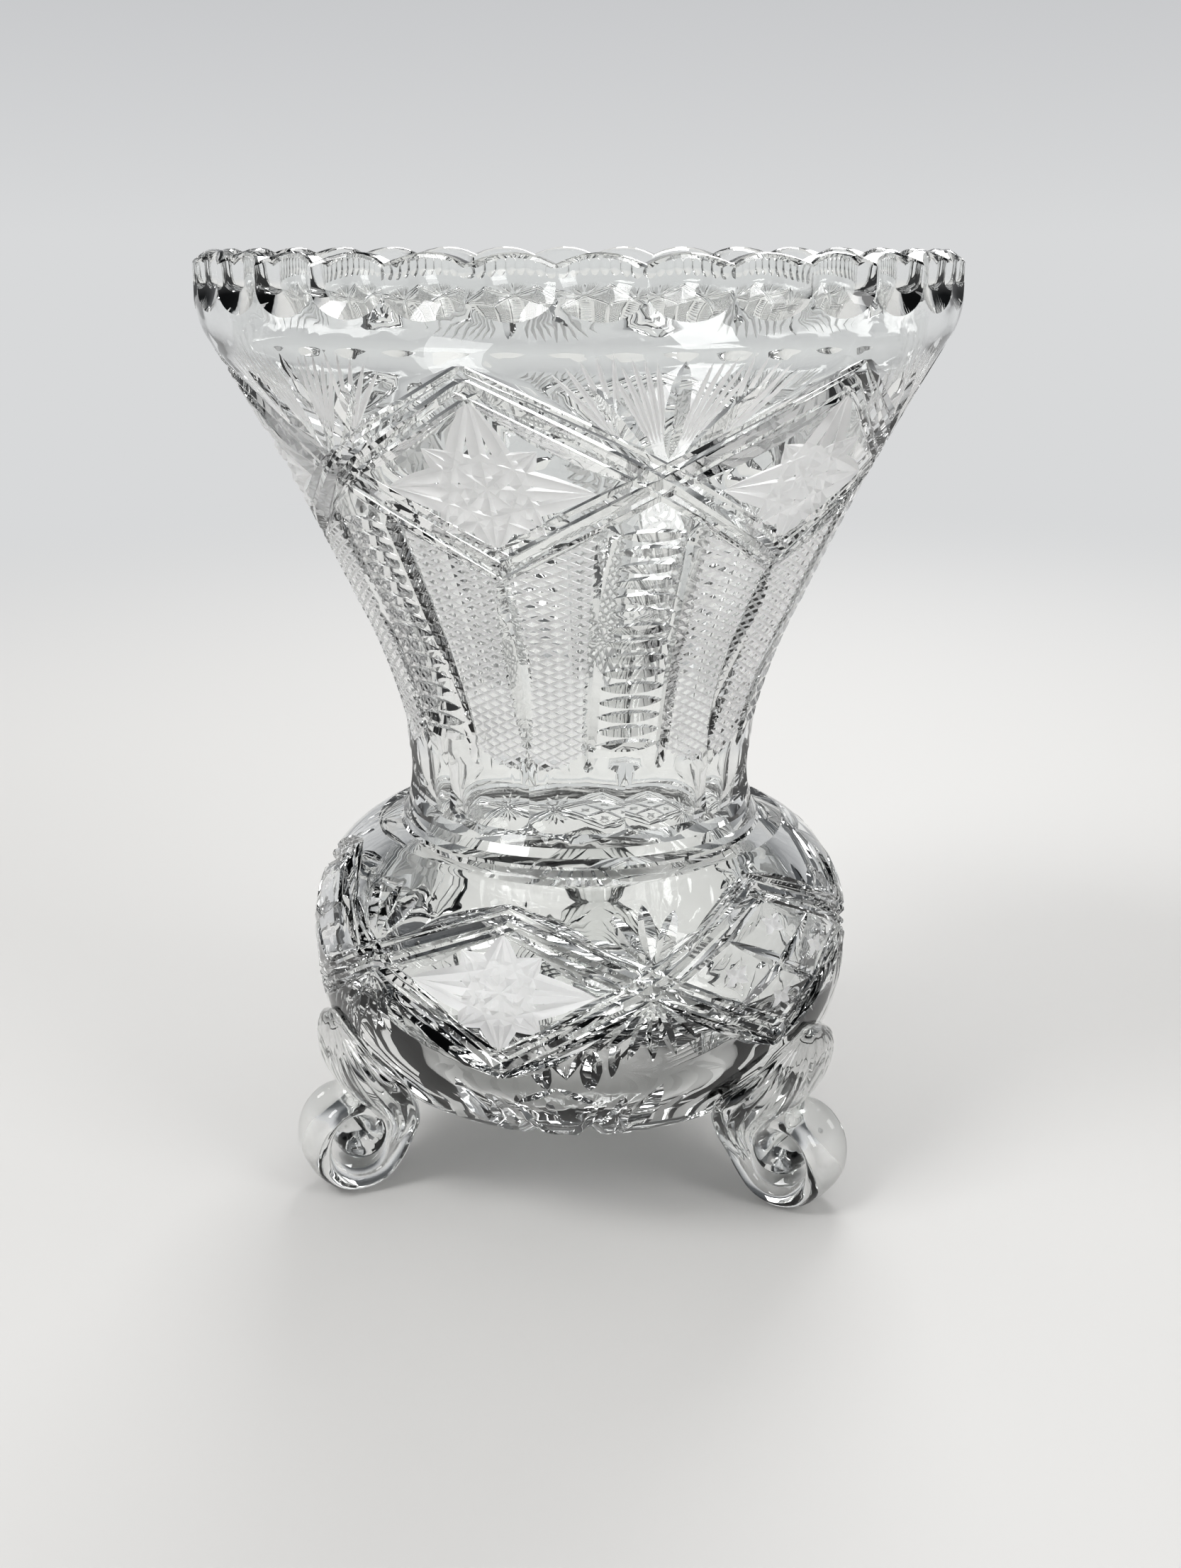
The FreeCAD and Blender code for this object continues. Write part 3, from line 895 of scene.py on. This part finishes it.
def upper_zone(track: Track, plan: Pattern) -> Zone:
    """Draws the trumpet and waist: stars, fans, ladders, hatched panels and thumb cuts.

    Args:
        track: The wall.
        plan: The pattern.

    Returns:
        The zone.
    """
    wall = track.wall
    zone = Zone("trumpet", track, track.at_height(wall.waist_bottom),
                track.at_height(plan.upper_top), 30.0, plan.star_azimuth)
    cutter = Cutter(zone)
    # The diamonds' sides, which cross between two stars.
    cross, top, bottom = (30.0, 164.2), (0.0, 182.6), (0.0, 147.0)
    for corner in (top, bottom):
        cutter.band(corner, cross, (0.0, -3.0, 3.0), 1.3, 0.7, 1.1)
    cutter.star((0.0, 161.6), [(19.0, 162.0), (9.5, 170.3), (0.0, 180.0), (10.0, 153.3),
                               (0.0, 148.8)], 1.9, 1.25)
    # Over each crossing, polished leaves with satin spikes between and beside them.
    origin, outer = (30.0, 165.0), (22.0, 171.5)
    for angle in (0.0, -36.0):
        cutter.ray(origin, angle, 4.0, 25.0, 2.3, 1.3)
    for spread in (-8.0, -4.0, 0.0, 4.0, 8.0):
        cutter.ray(origin, spread - 18.0, 8.0, 27.0 - abs(spread) / 4, 0.62, 0.55,
                   ground=Ground.SATIN)
        cutter.ray(outer, 2.0 * spread - 22.0, 0.5, 19.0, 0.62, 0.55, ground=Ground.SATIN)
    # Under each crossing, a ladder of level leaves between two posts.
    for height in (153.5 - 3.3 * index for index in range(15)):
        cutter.cut(cutter.beside(30.0, height, -6.9), cutter.beside(30.0, height, 6.9),
                   1.62, 1.1)
    cutter.cut(cutter.beside(30.0, 156.5, -9.0), cutter.beside(30.0, 104.0, -7.9), 1.9, 1.3,
               Shape.BAR)
    cutter.cut(cutter.beside(30.0, 107.5, -7.9), cutter.beside(30.0, 100.5, -7.8), 1.3, 1.1)
    # Under each star, one long leaf, with a hatched panel beside it.
    cutter.cut(cutter.at(bottom), cutter.at((0.0, 103.0)), 3.0, 1.8)
    cutter.hatch([(0.0, 143.2), (0.0, 104.5), (7.5, 100.5), (18.0, 106.0), (21.0, 121.0),
                  (21.4, 154.5)], (0.0, 110.0), 1.9, 27.0, 0.42, 0.4)
    middle = (wall.waist_top + wall.waist_bottom) / 2
    pitch = 360 / plan.thumb_count
    for azimuth in (pitch / 2, pitch * 1.5):
        zone.cuts.append(Thumb(azimuth, middle, wall.waist_radius, plan.thumb_wheel,
                               plan.thumb_depth, track, pitch))
    return zone


def bulb_zone(track: Track, plan: Pattern) -> Zone:
    """Draws the bulb: three stars and three lattices, with leaf fans at the crossings.

    Args:
        track: The wall.
        plan: The pattern.

    Returns:
        The zone.
    """
    zone = Zone("bulb", track, track.at_height(plan.bulb_low), track.at_height(plan.bulb_top),
                60.0, plan.star_azimuth)
    cutter = Cutter(zone)
    # The diamonds' sides: a star's diamond to the left of the crossing, a lattice's to the right.
    cross = (30.0, 62.5)
    for corner in ((0.0, 74.5), (0.0, 44.6), (60.0, 76.3), (60.0, 45.6)):
        cutter.band(corner, cross, (0.0, -2.6, 2.6), 1.2, 0.65, 1.1)
    cutter.star((0.0, 60.5), [(19.0, 60.8), (8.4, 68.3), (0.0, 72.2), (8.4, 52.4), (0.0, 47.2)],
                1.75, 1.2)
    # The lattice, with a small satin cross in each of its fields.
    cutter.cut(cutter.at((47.0, 68.8)), cutter.at((73.0, 53.6)), 1.5, 1.1)
    for middle in ((60.0, 69.3), (48.0, 61.5), (60.0, 53.8)):
        for angle in (58.0, -58.0):
            cutter.ray(middle, angle, -3.4, 3.4, 0.95, 0.7, Shape.BAR, Ground.SATIN)
    # Leaves that fan up and down from the crossing.
    for angle in (0.0, -31.0, 31.0, -60.0, 60.0):
        cutter.ray((30.0, 65.0), angle, 2.5, 14.5, 1.9, 1.2)
    for angle in (180.0, 158.0, 202.0, 136.0, 224.0):
        cutter.ray((30.0, 59.5), angle, 1.0, 14.0, 1.4, 1.0)
    return zone


def under_zone(track: Track, plan: Pattern) -> Zone:
    """Draws the underside: swags over the feet, a notched kite between them and a base star.

    Args:
        track: The wall.
        plan: The pattern.

    Returns:
        The zone.
    """
    # Six columns past a foot, so that the columns meet those of the bulb.
    phase = plan.star_azimuth + 60.0 + 6 * Zone.column
    zone = Zone("under", track, 0.0, track.at_height(plan.bulb_low), 60.0, phase, row=5.0)
    cutter = Cutter(zone)
    for step in range(4):
        cutter.cut(cutter.at((1.5, 39.8 - 2.6 * step)),
                   cutter.at((31.0 - step, 25.5 - 1.5 * step)), 1.25, 1.0)
    for start, end, half_width, depth in (
            ((38.5, 39.8), (46.0, 24.0), 2.6, 1.5), ((52.0, 29.5), (52.0, 17.8), 2.8, 2.8),
            ((46.2, 36.5), (51.2, 28.0), 0.9, 0.9), ((46.0, 34.5), (45.0, 20.0), 1.6, 1.8),
            ((60.0, 39.8), (51.6, 35.4), 1.0, 0.9), ((51.6, 35.4), (60.0, 19.6), 1.2, 1.0)):
        cutter.cut(cutter.at(start), cutter.at(end), half_width, depth)
    for azimuth in (7.5, 22.5, 37.5, 52.5):
        cutter.cut((azimuth, 1.0), (azimuth, 23.5), 1.9, 1.1)
    return zone


# --------------------------------------------------------------------------- pieces


@dataclass
class Piece:
    """Something with a mesh of its own.

    Attributes:
        name: The object's name.
        node: The node of the part that it dresses.
        slot: A material slot's name; not used.
        wall: The vessel's blown wall.
    """

    name: str
    node: str
    slot: str
    wall: Wall

    def place(self, mesh: bmesh.types.BMesh, materials: list[bpy.types.Material],
              sharp: float) -> bpy.types.Object:
        """Turns a mesh in millimetres into an object in the scene.

        Args:
            mesh: The mesh, freed here.
            materials: The object's materials, in the order of its face indices.
            sharp: Edges that turn by more than this many degrees stay sharp.

        Returns:
            The object.
        """
        bmesh.ops.scale(mesh, vec=(MM, MM, MM), verts=mesh.verts)
        bmesh.ops.recalc_face_normals(mesh, faces=mesh.faces)
        limit = math.radians(sharp)
        for edge in mesh.edges:
            edge.smooth = edge.calc_face_angle(0.0) < limit
        for face in mesh.faces:
            face.smooth = True
        loose = sum(not edge.is_manifold for edge in mesh.edges)
        data = bpy.data.meshes.new(self.name)
        mesh.to_mesh(data)
        mesh.free()
        for material in materials:
            data.materials.append(material)
        item = bpy.data.objects.new(self.name, data)
        bpy.context.scene.collection.objects.link(item)
        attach(item, "root")
        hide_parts(self.node)
        LOG.info("%s: %d faces, %d open edges", self.name, len(data.polygons), loose)
        return item


@dataclass
class Vessel(Piece):
    """The cut vessel: a thick wall, cut all over outside and smooth inside."""

    plan: Pattern
    materials: list[bpy.types.Material]
    columns: int = 192
    sharp: float = 16.0

    def build(self) -> bpy.types.Object:
        """Builds the vessel.

        Returns:
            Its object.
        """
        wall, plan = self.wall, self.plan
        track = Track(wall)
        mesh = bmesh.new()
        for zone in (under_zone(track, plan), bulb_zone(track, plan), upper_zone(track, plan),
                     rim_zone(track, plan)):
            self.join(mesh, zone.build())
        low, high = track.at_height(plan.bulb_top), track.at_height(wall.waist_bottom)
        ring = [low, *(spot for spot in track.along if low + 0.5 < spot < high - 0.05), high]
        radius, height = track.surface(np.array(ring), np.zeros(len(ring)))
        self.spin(mesh, list(zip(radius, height)))
        inner = wall.inside()
        rim = bmesh.new()
        self.spin(rim, [(wall.rim_radius, wall.height - wall.lip_round), *inner,
                        (0.0, inner[-1][1])])
        self.flute(rim)
        self.join(mesh, rim)
        self.spin(mesh, [(0.0, wall.base[1]), (wall.pole_radius, wall.base[1])])
        bmesh.ops.remove_doubles(mesh, verts=mesh.verts, dist=2.5 * WELD)
        self.scallop(mesh)
        return self.place(mesh, self.materials, self.sharp)

    def join(self, mesh: bmesh.types.BMesh, part: bmesh.types.BMesh) -> None:
        """Adds one mesh to another.

        Args:
            mesh: The mesh that grows.
            part: The mesh that joins it, freed here.
        """
        data = bpy.data.meshes.new("zone")
        part.to_mesh(data)
        part.free()
        mesh.from_mesh(data)
        bpy.data.meshes.remove(data)

    def spin(self, mesh: bmesh.types.BMesh, path: list[Point]) -> None:
        """Adds a ring of the wall that has no cuts.

        Args:
            mesh: The mesh that it joins.
            path: Its section, (radius, height).
        """
        start = math.radians(self.plan.star_azimuth)
        corners = [mesh.verts.new((r * math.sin(start), -r * math.cos(start), z))
                   for r, z in path]
        edges = [mesh.edges.new(pair) for pair in zip(corners, corners[1:])]
        bmesh.ops.spin(mesh, geom=corners + edges, cent=(0, 0, 0), axis=(0, 0, 1),
                       angle=math.tau, steps=self.columns, use_merge=True)

    def aside(self, place: Vector) -> float:
        """How far a place lies from the nearest flute's middle: one is the edge between two."""
        turn = math.degrees(math.atan2(place.x, -place.y)) - self.plan.flute_phase
        return 2 * abs((turn * self.plan.flute_count / 360) % 1.0 - 0.5)

    def flute(self, mesh: bmesh.types.BMesh) -> None:
        """Takes the flutes' hollows out of the lip's outer edge.

        Args:
            mesh: The lip and the inner wall.
        """
        wall = self.wall
        for corner in mesh.verts:
            radius = math.hypot(corner.co.x, corner.co.y)
            if radius > wall.rim_radius - wall.lip_round - 0.01:
                depth = self.plan.flute_depth * (1 - self.aside(corner.co)**2)
                corner.co.xy *= 1 - depth / radius

    def scallop(self, mesh: bmesh.types.BMesh) -> None:
        """Lets the lip fall a little towards the edge between two flutes.

        Args:
            mesh: The whole vessel.
        """
        plan, wall = self.plan, self.wall
        for corner in mesh.verts:
            share = (corner.co.z - wall.height + wall.rim_band) / wall.rim_band
            if share > 0:
                corner.co.z -= plan.scallop_rise * self.aside(corner.co)**2 * min(share, 1.0)


@dataclass(frozen=True)
class Rib:
    """One cross-section of a foot's strip; bow is how far its edges bend in round the bulb."""

    reach: float
    height: float
    width: float
    thickness: float
    bow: float = 0.0


SCROLL = (
    Rib(60.6, 42.6, 3.0, 1.6, 0.1),
    Rib(60.8, 39.6, 19.0, 3.4, 1.6),
    Rib(60.6, 35.4, 33.0, 5.2, 4.0),
    Rib(59.4, 30.8, 44.0, 6.6, 6.2),
    Rib(56.8, 26.6, 48.0, 7.4, 6.6),
    Rib(53.0, 22.6, 42.0, 7.4, 5.0),
    Rib(49.6, 18.2, 31.0, 6.8, 2.6),
    Rib(48.2, 13.2, 21.5, 6.2, 0.6),
    Rib(49.2, 8.2, 17.0, 5.8),
    Rib(52.2, 4.4, 15.8, 5.6),
    Rib(56.6, 2.8, 15.2, 5.5),
    Rib(61.2, 3.6, 15.0, 5.5),
    Rib(64.9, 6.9, 15.0, 5.5),
    Rib(66.2, 11.6, 15.0, 5.5),
    Rib(65.1, 16.6, 15.0, 5.6),
    Rib(61.6, 20.2, 14.8, 5.7),
    Rib(57.0, 20.8, 14.6, 5.6),
    Rib(53.6, 18.2, 14.4, 5.6),
    Rib(53.0, 14.4, 14.6, 6.4),
    Rib(54.8, 11.8, 15.0, 8.0),
    Rib(57.4, 11.8, 15.0, 8.6),
    Rib(59.8, 12.4, 13.5, 6.6),
    Rib(61.4, 12.9, 9.0, 2.6),
)


@dataclass
class ScrollFoot(Piece):
    """A strip of hot glass laid on the bulb as a leaf, run down and curled up into a scroll.

    Attributes:
        azimuth: Where it stands.
        finish: Its material.
        spans: Sections from one rib to the next.
        around: Points round a section.
        grooves: Crimped grooves across half the leaf.
        groove_depth: How deep they are.
        smooth_width: The strip's width up to which it has none.
        crimped_over: The further width over which they reach their full depth.
        bite: How far the leaf sinks into the vessel's wall.
        sharp: Edges that turn by more than this many degrees stay sharp.
    """

    azimuth: float
    finish: bpy.types.Material
    spans: int = 4
    around: int = 112
    grooves: int = 7
    groove_depth: float = 0.9
    smooth_width: float = 17.0
    crimped_over: float = 12.0
    bite: float = 0.3
    sharp: float = 50.0

    def ribs(self) -> np.ndarray:
        """Runs a smooth curve through the ribs.

        Returns:
            Rows of reach, height, width, thickness and bow.
        """
        marks = np.array([(rib.reach, rib.height, rib.width, rib.thickness, rib.bow)
                          for rib in SCROLL])
        padded = np.vstack([2 * marks[0] - marks[1], marks, 2 * marks[-1] - marks[-2]])
        rows = []
        for index in range(1, len(padded) - 2):
            before, start, end, after = padded[index - 1:index + 3]
            for step in range(self.spans):
                t = step / self.spans
                rows.append(0.5 * (2 * start + (end - before) * t
                                   + (2 * before - 5 * start + 4 * end - after) * t**2
                                   + (3 * start - before - 3 * end + after) * t**3))
        rows.append(marks[-1])
        return np.array(rows)

    def section(self, rib: np.ndarray, normal: np.ndarray) -> list[Vector]:
        """The points round one section; the foot lies along +X here.

        Args:
            rib: One row of ribs().
            normal: Outward direction across the strip, (reach, height).

        Returns:
            The points.
        """
        reach, height, width, thickness, bow = rib
        points = []
        for index in range(self.around):
            turn = math.tau * index / self.around
            across, out = math.cos(turn), math.sin(turn)
            y = 0.5 * width * math.copysign(abs(across) ** 0.72, across)
            lift = 0.5 * thickness * math.copysign(abs(out) ** 0.8, out)
            ratio = 2 * y / max(width, 1e-6)
            lift -= bow * ratio**2
            if out > 0:
                valley = (1 - abs(math.sin(math.pi * self.grooves * ratio))) ** 2
                spread = min(max((width - self.smooth_width) / self.crimped_over, 0.0), 1.0)
                edge = min(max((abs(ratio) - 0.2) / 0.2, 0.0), 1.0) * min(1.0, 5.0 * out)
                lift -= self.groove_depth * valley * spread * edge
            points.append(Vector((reach + normal[0] * lift, y, height + normal[1] * lift)))
        return points

    def build(self) -> bpy.types.Object:
        """Builds the foot.

        Returns:
            Its object.
        """
        mesh = bmesh.new()
        rows = self.ribs()
        ways = np.gradient(rows[:, :2], axis=0)
        ways /= np.hypot(*ways.T)[:, None]
        rings = []
        for row, way in zip(rows, ways):
            normal = np.array([-way[1], way[0]])
            rings.append([mesh.verts.new(point) for point in self.section(row, normal)])
        for ring, follower in zip(rings, rings[1:]):
            for index in range(self.around):
                after = (index + 1) % self.around
                mesh.faces.new((ring[index], ring[after], follower[after], follower[index]))
        for ring in (rings[0], rings[-1]):
            cap = mesh.faces.new(ring)
            bmesh.ops.poke(mesh, faces=[cap])
        turn = Matrix.Rotation(math.radians(self.azimuth - 90), 3, "Z")
        bmesh.ops.rotate(mesh, cent=(0, 0, 0), matrix=turn, verts=mesh.verts)
        bmesh.ops.recalc_face_normals(mesh, faces=mesh.faces)
        return self.place(self.trimmed(mesh), [self.finish], self.sharp)

    def core(self) -> bmesh.types.BMesh:
        """The vessel's lower part as a plain solid, smaller than its wall by the bite.

        Returns:
            The solid, in millimetres.
        """
        track = Track(self.wall)
        above = self.wall.bulb[1] + 9.0
        along = track.along[track.along < track.at_height(above)]
        radius, height = track.surface(along, np.full(len(along), self.bite))
        path = [(0.0, height[0]), *zip(radius, height), (0.0, height[-1])]
        mesh = bmesh.new()
        corners = [mesh.verts.new((r, 0.0, z)) for r, z in path]
        edges = [mesh.edges.new(pair) for pair in zip(corners, corners[1:])]
        bmesh.ops.spin(mesh, geom=corners + edges, cent=(0, 0, 0), axis=(0, 0, 1),
                       angle=math.tau, steps=144, use_merge=True)
        bmesh.ops.remove_doubles(mesh, verts=mesh.verts, dist=WELD / 4)
        bmesh.ops.recalc_face_normals(mesh, faces=mesh.faces)
        return mesh

    def trimmed(self, mesh: bmesh.types.BMesh) -> bmesh.types.BMesh:
        """Takes away what lies deeper in the vessel's wall than the foot's bite.

        Args:
            mesh: The foot in millimetres, freed here.

        Returns:
            The rest of it.
        """
        items = []
        for part in (mesh, self.core()):
            data = bpy.data.meshes.new("part")
            part.to_mesh(data)
            part.free()
            items.append(bpy.data.objects.new("part", data))
            bpy.context.scene.collection.objects.link(items[-1])
        cut = items[0].modifiers.new("trim", "BOOLEAN")
        cut.operation = "DIFFERENCE"
        cut.solver = "EXACT"
        cut.object = items[1]
        graph = bpy.context.evaluated_depsgraph_get()
        whole = bpy.data.meshes.new_from_object(items[0].evaluated_get(graph))
        rest = bmesh.new()
        rest.from_mesh(whole)
        bpy.data.meshes.remove(whole)
        for item in items:
            data = item.data
            bpy.data.objects.remove(item)
            bpy.data.meshes.remove(data)
        bmesh.ops.remove_doubles(rest, verts=rest.verts, dist=WELD / 2)
        return rest


# --------------------------------------------------------------------------- finishes


def linear(code: str) -> tuple[float, float, float, float]:
    """Turns an sRGB hex code into a colour for a shader.

    Args:
        code: The code, such as #FFFFFF.

    Returns:
        The linear colour, with full alpha.
    """
    parts = [int(code[index:index + 2], 16) / 255 for index in (1, 3, 5)]
    return (*(part / 12.92 if part <= 0.04045 else ((part + 0.055) / 1.055) ** 2.4
              for part in parts), 1.0)


def add_node(tree: bpy.types.NodeTree, kind: str, inputs: dict | None = None,
             **settings) -> bpy.types.Node:
    """Adds a shader node.

    Args:
        tree: The node tree.
        kind: The node's type.
        inputs: What its sockets take, by name or number: a constant, or another node's output.
        **settings: Its own settings.

    Returns:
        The node.
    """
    node = tree.nodes.new(kind)
    for key, value in settings.items():
        setattr(node, key, value)
    for key, value in (inputs or {}).items():
        if isinstance(value, bpy.types.NodeSocket):
            tree.links.new(value, node.inputs[key])
        else:
            node.inputs[key].default_value = value
    return node


@dataclass(frozen=True)
class Finish:
    """A glass finish."""

    name: str
    tint: str
    roughness: float
    clear: float = 1.0
    ior: float = 1.54

    def material(self) -> bpy.types.Material:
        """Builds the material.

        Returns:
            The material.
        """
        material = bpy.data.materials.new(self.name)
        material.use_nodes = True
        tree = material.node_tree
        tree.nodes.clear()
        surface = add_node(tree, "ShaderNodeBsdfPrincipled", {
            "Base Color": linear(self.tint), "Roughness": self.roughness, "IOR": self.ior,
            "Transmission Weight": self.clear})
        add_node(tree, "ShaderNodeOutputMaterial", {"Surface": surface.outputs["BSDF"]})
        return material


# Lead crystal polished in acid after cutting: perfectly clear, so each facet mirrors and bends.
CRYSTAL = Finish("polished lead crystal", "#FCFDFC", 0.0)
# The same crystal left as the fine stone wheel ground it: a soft white that hides what is behind.
SATIN = Finish("satin-ground crystal", "#FFFFFF", 0.4, 0.45)
# Crystal worked hot and never touched by a wheel: clear, with the soft gloss lines of a flame.
FIRED = Finish("fire-polished crystal", "#FCFDFC", 0.0)


# --------------------------------------------------------------------------- setting


@dataclass(frozen=True)
class Lamp:
    """A square lamp: place and side in metres, power in watts."""

    name: str
    place: tuple[float, float, float]
    power: float
    side: float = 0.6


@dataclass(frozen=True)
class Studio:
    """Floor, lamps, surroundings and camera, in metres and degrees.

    Attributes:
        table: The floor's colour.
        backdrop: The colour that the floor and the horizon run out into.
        sky: Colours from the horizon to the zenith, each with its place.
        fade: Where the floor starts to run out, and where it has.
        daylight: The strength of the light all round.
        lamps: The lamps.
        lens: The camera's focal length in millimetres.
        stand: Where the camera stands.
        tilt: How far it looks down.
        swing: How far it looks to the left.
    """

    table: str = "#DEDDDB"
    backdrop: str = "#D8D9DA"
    sky: tuple[tuple[float, str], ...] = ((0.0, backdrop), (0.12, "#C8C9CB"),
                                          (0.34, "#55585B"), (1.0, "#1C1E20"))
    fade: Point = (0.3, 1.1)
    daylight: float = 0.55
    lamps: tuple[Lamp, ...] = (Lamp("key", (-0.9, -0.6, 1.25), 10.5),
                               Lamp("fill", (1.0, -0.8, 0.8), 5.0),
                               Lamp("back", (0.2, 1.1, 0.9), 7.0))
    lens: float = 55.9
    stand: tuple[float, float, float] = (0.0, -0.4017, 0.2079)
    tilt: float = 16.69
    swing: float = -0.34

    def build(self) -> None:
        """Builds all of it."""
        self.floor()
        self.surroundings()
        for lamp in self.lamps:
            self.hang(lamp)
        self.camera()
        bpy.context.scene.view_settings.view_transform = "Standard"

    def straight(self, tree: bpy.types.NodeTree) -> bpy.types.NodeSocket:
        """Tells a look from the camera, off a gloss or through glass from other light.

        Args:
            tree: The node tree.

        Returns:
            An output that is one for such a look, and nought otherwise.
        """
        path = add_node(tree, "ShaderNodeLightPath")
        total = path.outputs["Is Camera Ray"]
        for name in ("Is Transmission Ray", "Is Glossy Ray"):
            either = add_node(tree, "ShaderNodeMath", {0: total, 1: path.outputs[name]},
                              operation="MAXIMUM")
            total = either.outputs[0]
        return total

    def floor(self) -> None:
        """Lays a pale table top that runs out into the backdrop's colour."""
        mesh = bmesh.new()
        bmesh.ops.create_grid(mesh, x_segments=1, y_segments=1, size=2.5)
        data = bpy.data.meshes.new("table")
        mesh.to_mesh(data)
        mesh.free()
        material = bpy.data.materials.new("pale table")
        material.use_nodes = True
        tree = material.node_tree
        surface = tree.nodes["Principled BSDF"]
        surface.inputs["Base Color"].default_value = linear(self.table)
        surface.inputs["Roughness"].default_value = 0.6
        spot = add_node(tree, "ShaderNodeTexCoord")
        far = add_node(tree, "ShaderNodeVectorMath", {0: spot.outputs["Object"]},
                       operation="LENGTH")
        fade = add_node(tree, "ShaderNodeMapRange", {
            "Value": far.outputs["Value"], "From Min": self.fade[0], "From Max": self.fade[1]},
                        interpolation_type="SMOOTHSTEP")
        both = add_node(tree, "ShaderNodeMath", {0: fade.outputs[0], 1: self.straight(tree)},
                        operation="MULTIPLY")
        glow = add_node(tree, "ShaderNodeEmission", {"Color": linear(self.backdrop)})
        mix = add_node(tree, "ShaderNodeMixShader", {
            0: both.outputs[0], 1: surface.outputs[0], 2: glow.outputs[0]})
        tree.links.new(mix.outputs[0], tree.nodes["Material Output"].inputs["Surface"])
        data.materials.append(material)
        table = bpy.data.objects.new("table", data)
        bpy.context.scene.collection.objects.link(table)

    def surroundings(self) -> None:
        """Sets dim light all round; what looks straight at it, or through glass, sees the sky."""
        world = bpy.data.worlds.new("surroundings")
        bpy.context.scene.world = world
        world.use_nodes = True
        tree = world.node_tree
        tree.nodes.clear()
        spot = add_node(tree, "ShaderNodeTexCoord")
        split = add_node(tree, "ShaderNodeSeparateXYZ", {0: spot.outputs["Generated"]})
        sky = add_node(tree, "ShaderNodeValToRGB", {0: split.outputs["Z"]})
        ramp = sky.color_ramp
        while len(ramp.elements) < len(self.sky):
            ramp.elements.new(0.5)
        for element, (place, code) in zip(ramp.elements, self.sky):
            element.position = place
            element.color = linear(code)
        seen = add_node(tree, "ShaderNodeBackground", {0: sky.outputs[0], "Strength": 1.0})
        even = add_node(tree, "ShaderNodeBackground", {"Color": linear("#FFFFFF"),
                                                       "Strength": self.daylight})
        mix = add_node(tree, "ShaderNodeMixShader", {
            0: self.straight(tree), 1: even.outputs[0], 2: seen.outputs[0]})
        add_node(tree, "ShaderNodeOutputWorld", {"Surface": mix.outputs[0]})

    def hang(self, lamp: Lamp) -> None:
        """Hangs a lamp so that it faces the vessel's middle.

        Args:
            lamp: The lamp.
        """
        data = bpy.data.lights.new(lamp.name, "AREA")
        data.size = lamp.side
        data.energy = lamp.power
        item = bpy.data.objects.new(lamp.name, data)
        item.location = lamp.place
        way = Vector((0.0, 0.0, 0.1)) - item.location
        item.rotation_euler = way.to_track_quat("-Z", "Y").to_euler()
        bpy.context.scene.collection.objects.link(item)

    def camera(self) -> None:
        """Stands a camera at the height of the rim, looking down at the vessel."""
        data = bpy.data.cameras.new("camera")
        data.lens = self.lens
        data.sensor_width = 36.0
        data.sensor_fit = "HORIZONTAL"
        data.clip_start = 0.01
        item = bpy.data.objects.new("camera", data)
        item.location = self.stand
        item.rotation_euler = (math.radians(90 - self.tilt), 0.0, math.radians(self.swing))
        bpy.context.scene.collection.objects.link(item)
        bpy.context.scene.camera = item


def main() -> None:
    """Builds the whole scene."""
    logging.basicConfig(level=logging.INFO, format="%(message)s")
    wall, plan = Wall(), Pattern()
    crystal, satin, fired = (finish.material() for finish in (CRYSTAL, SATIN, FIRED))
    Vessel("cut_vessel", "vase_body", "cut_crystal", wall, plan, [crystal, satin]).build()
    for name, turn in (("front_right", 0), ("rear", 120), ("front_left", -120)):
        ScrollFoot(f"scroll_foot_{name}", f"foot_{name}", "scroll_crystal", wall,
                   plan.foot_azimuth + turn, fired).build()
    Studio().build()


if __name__ == "__main__":
    main()
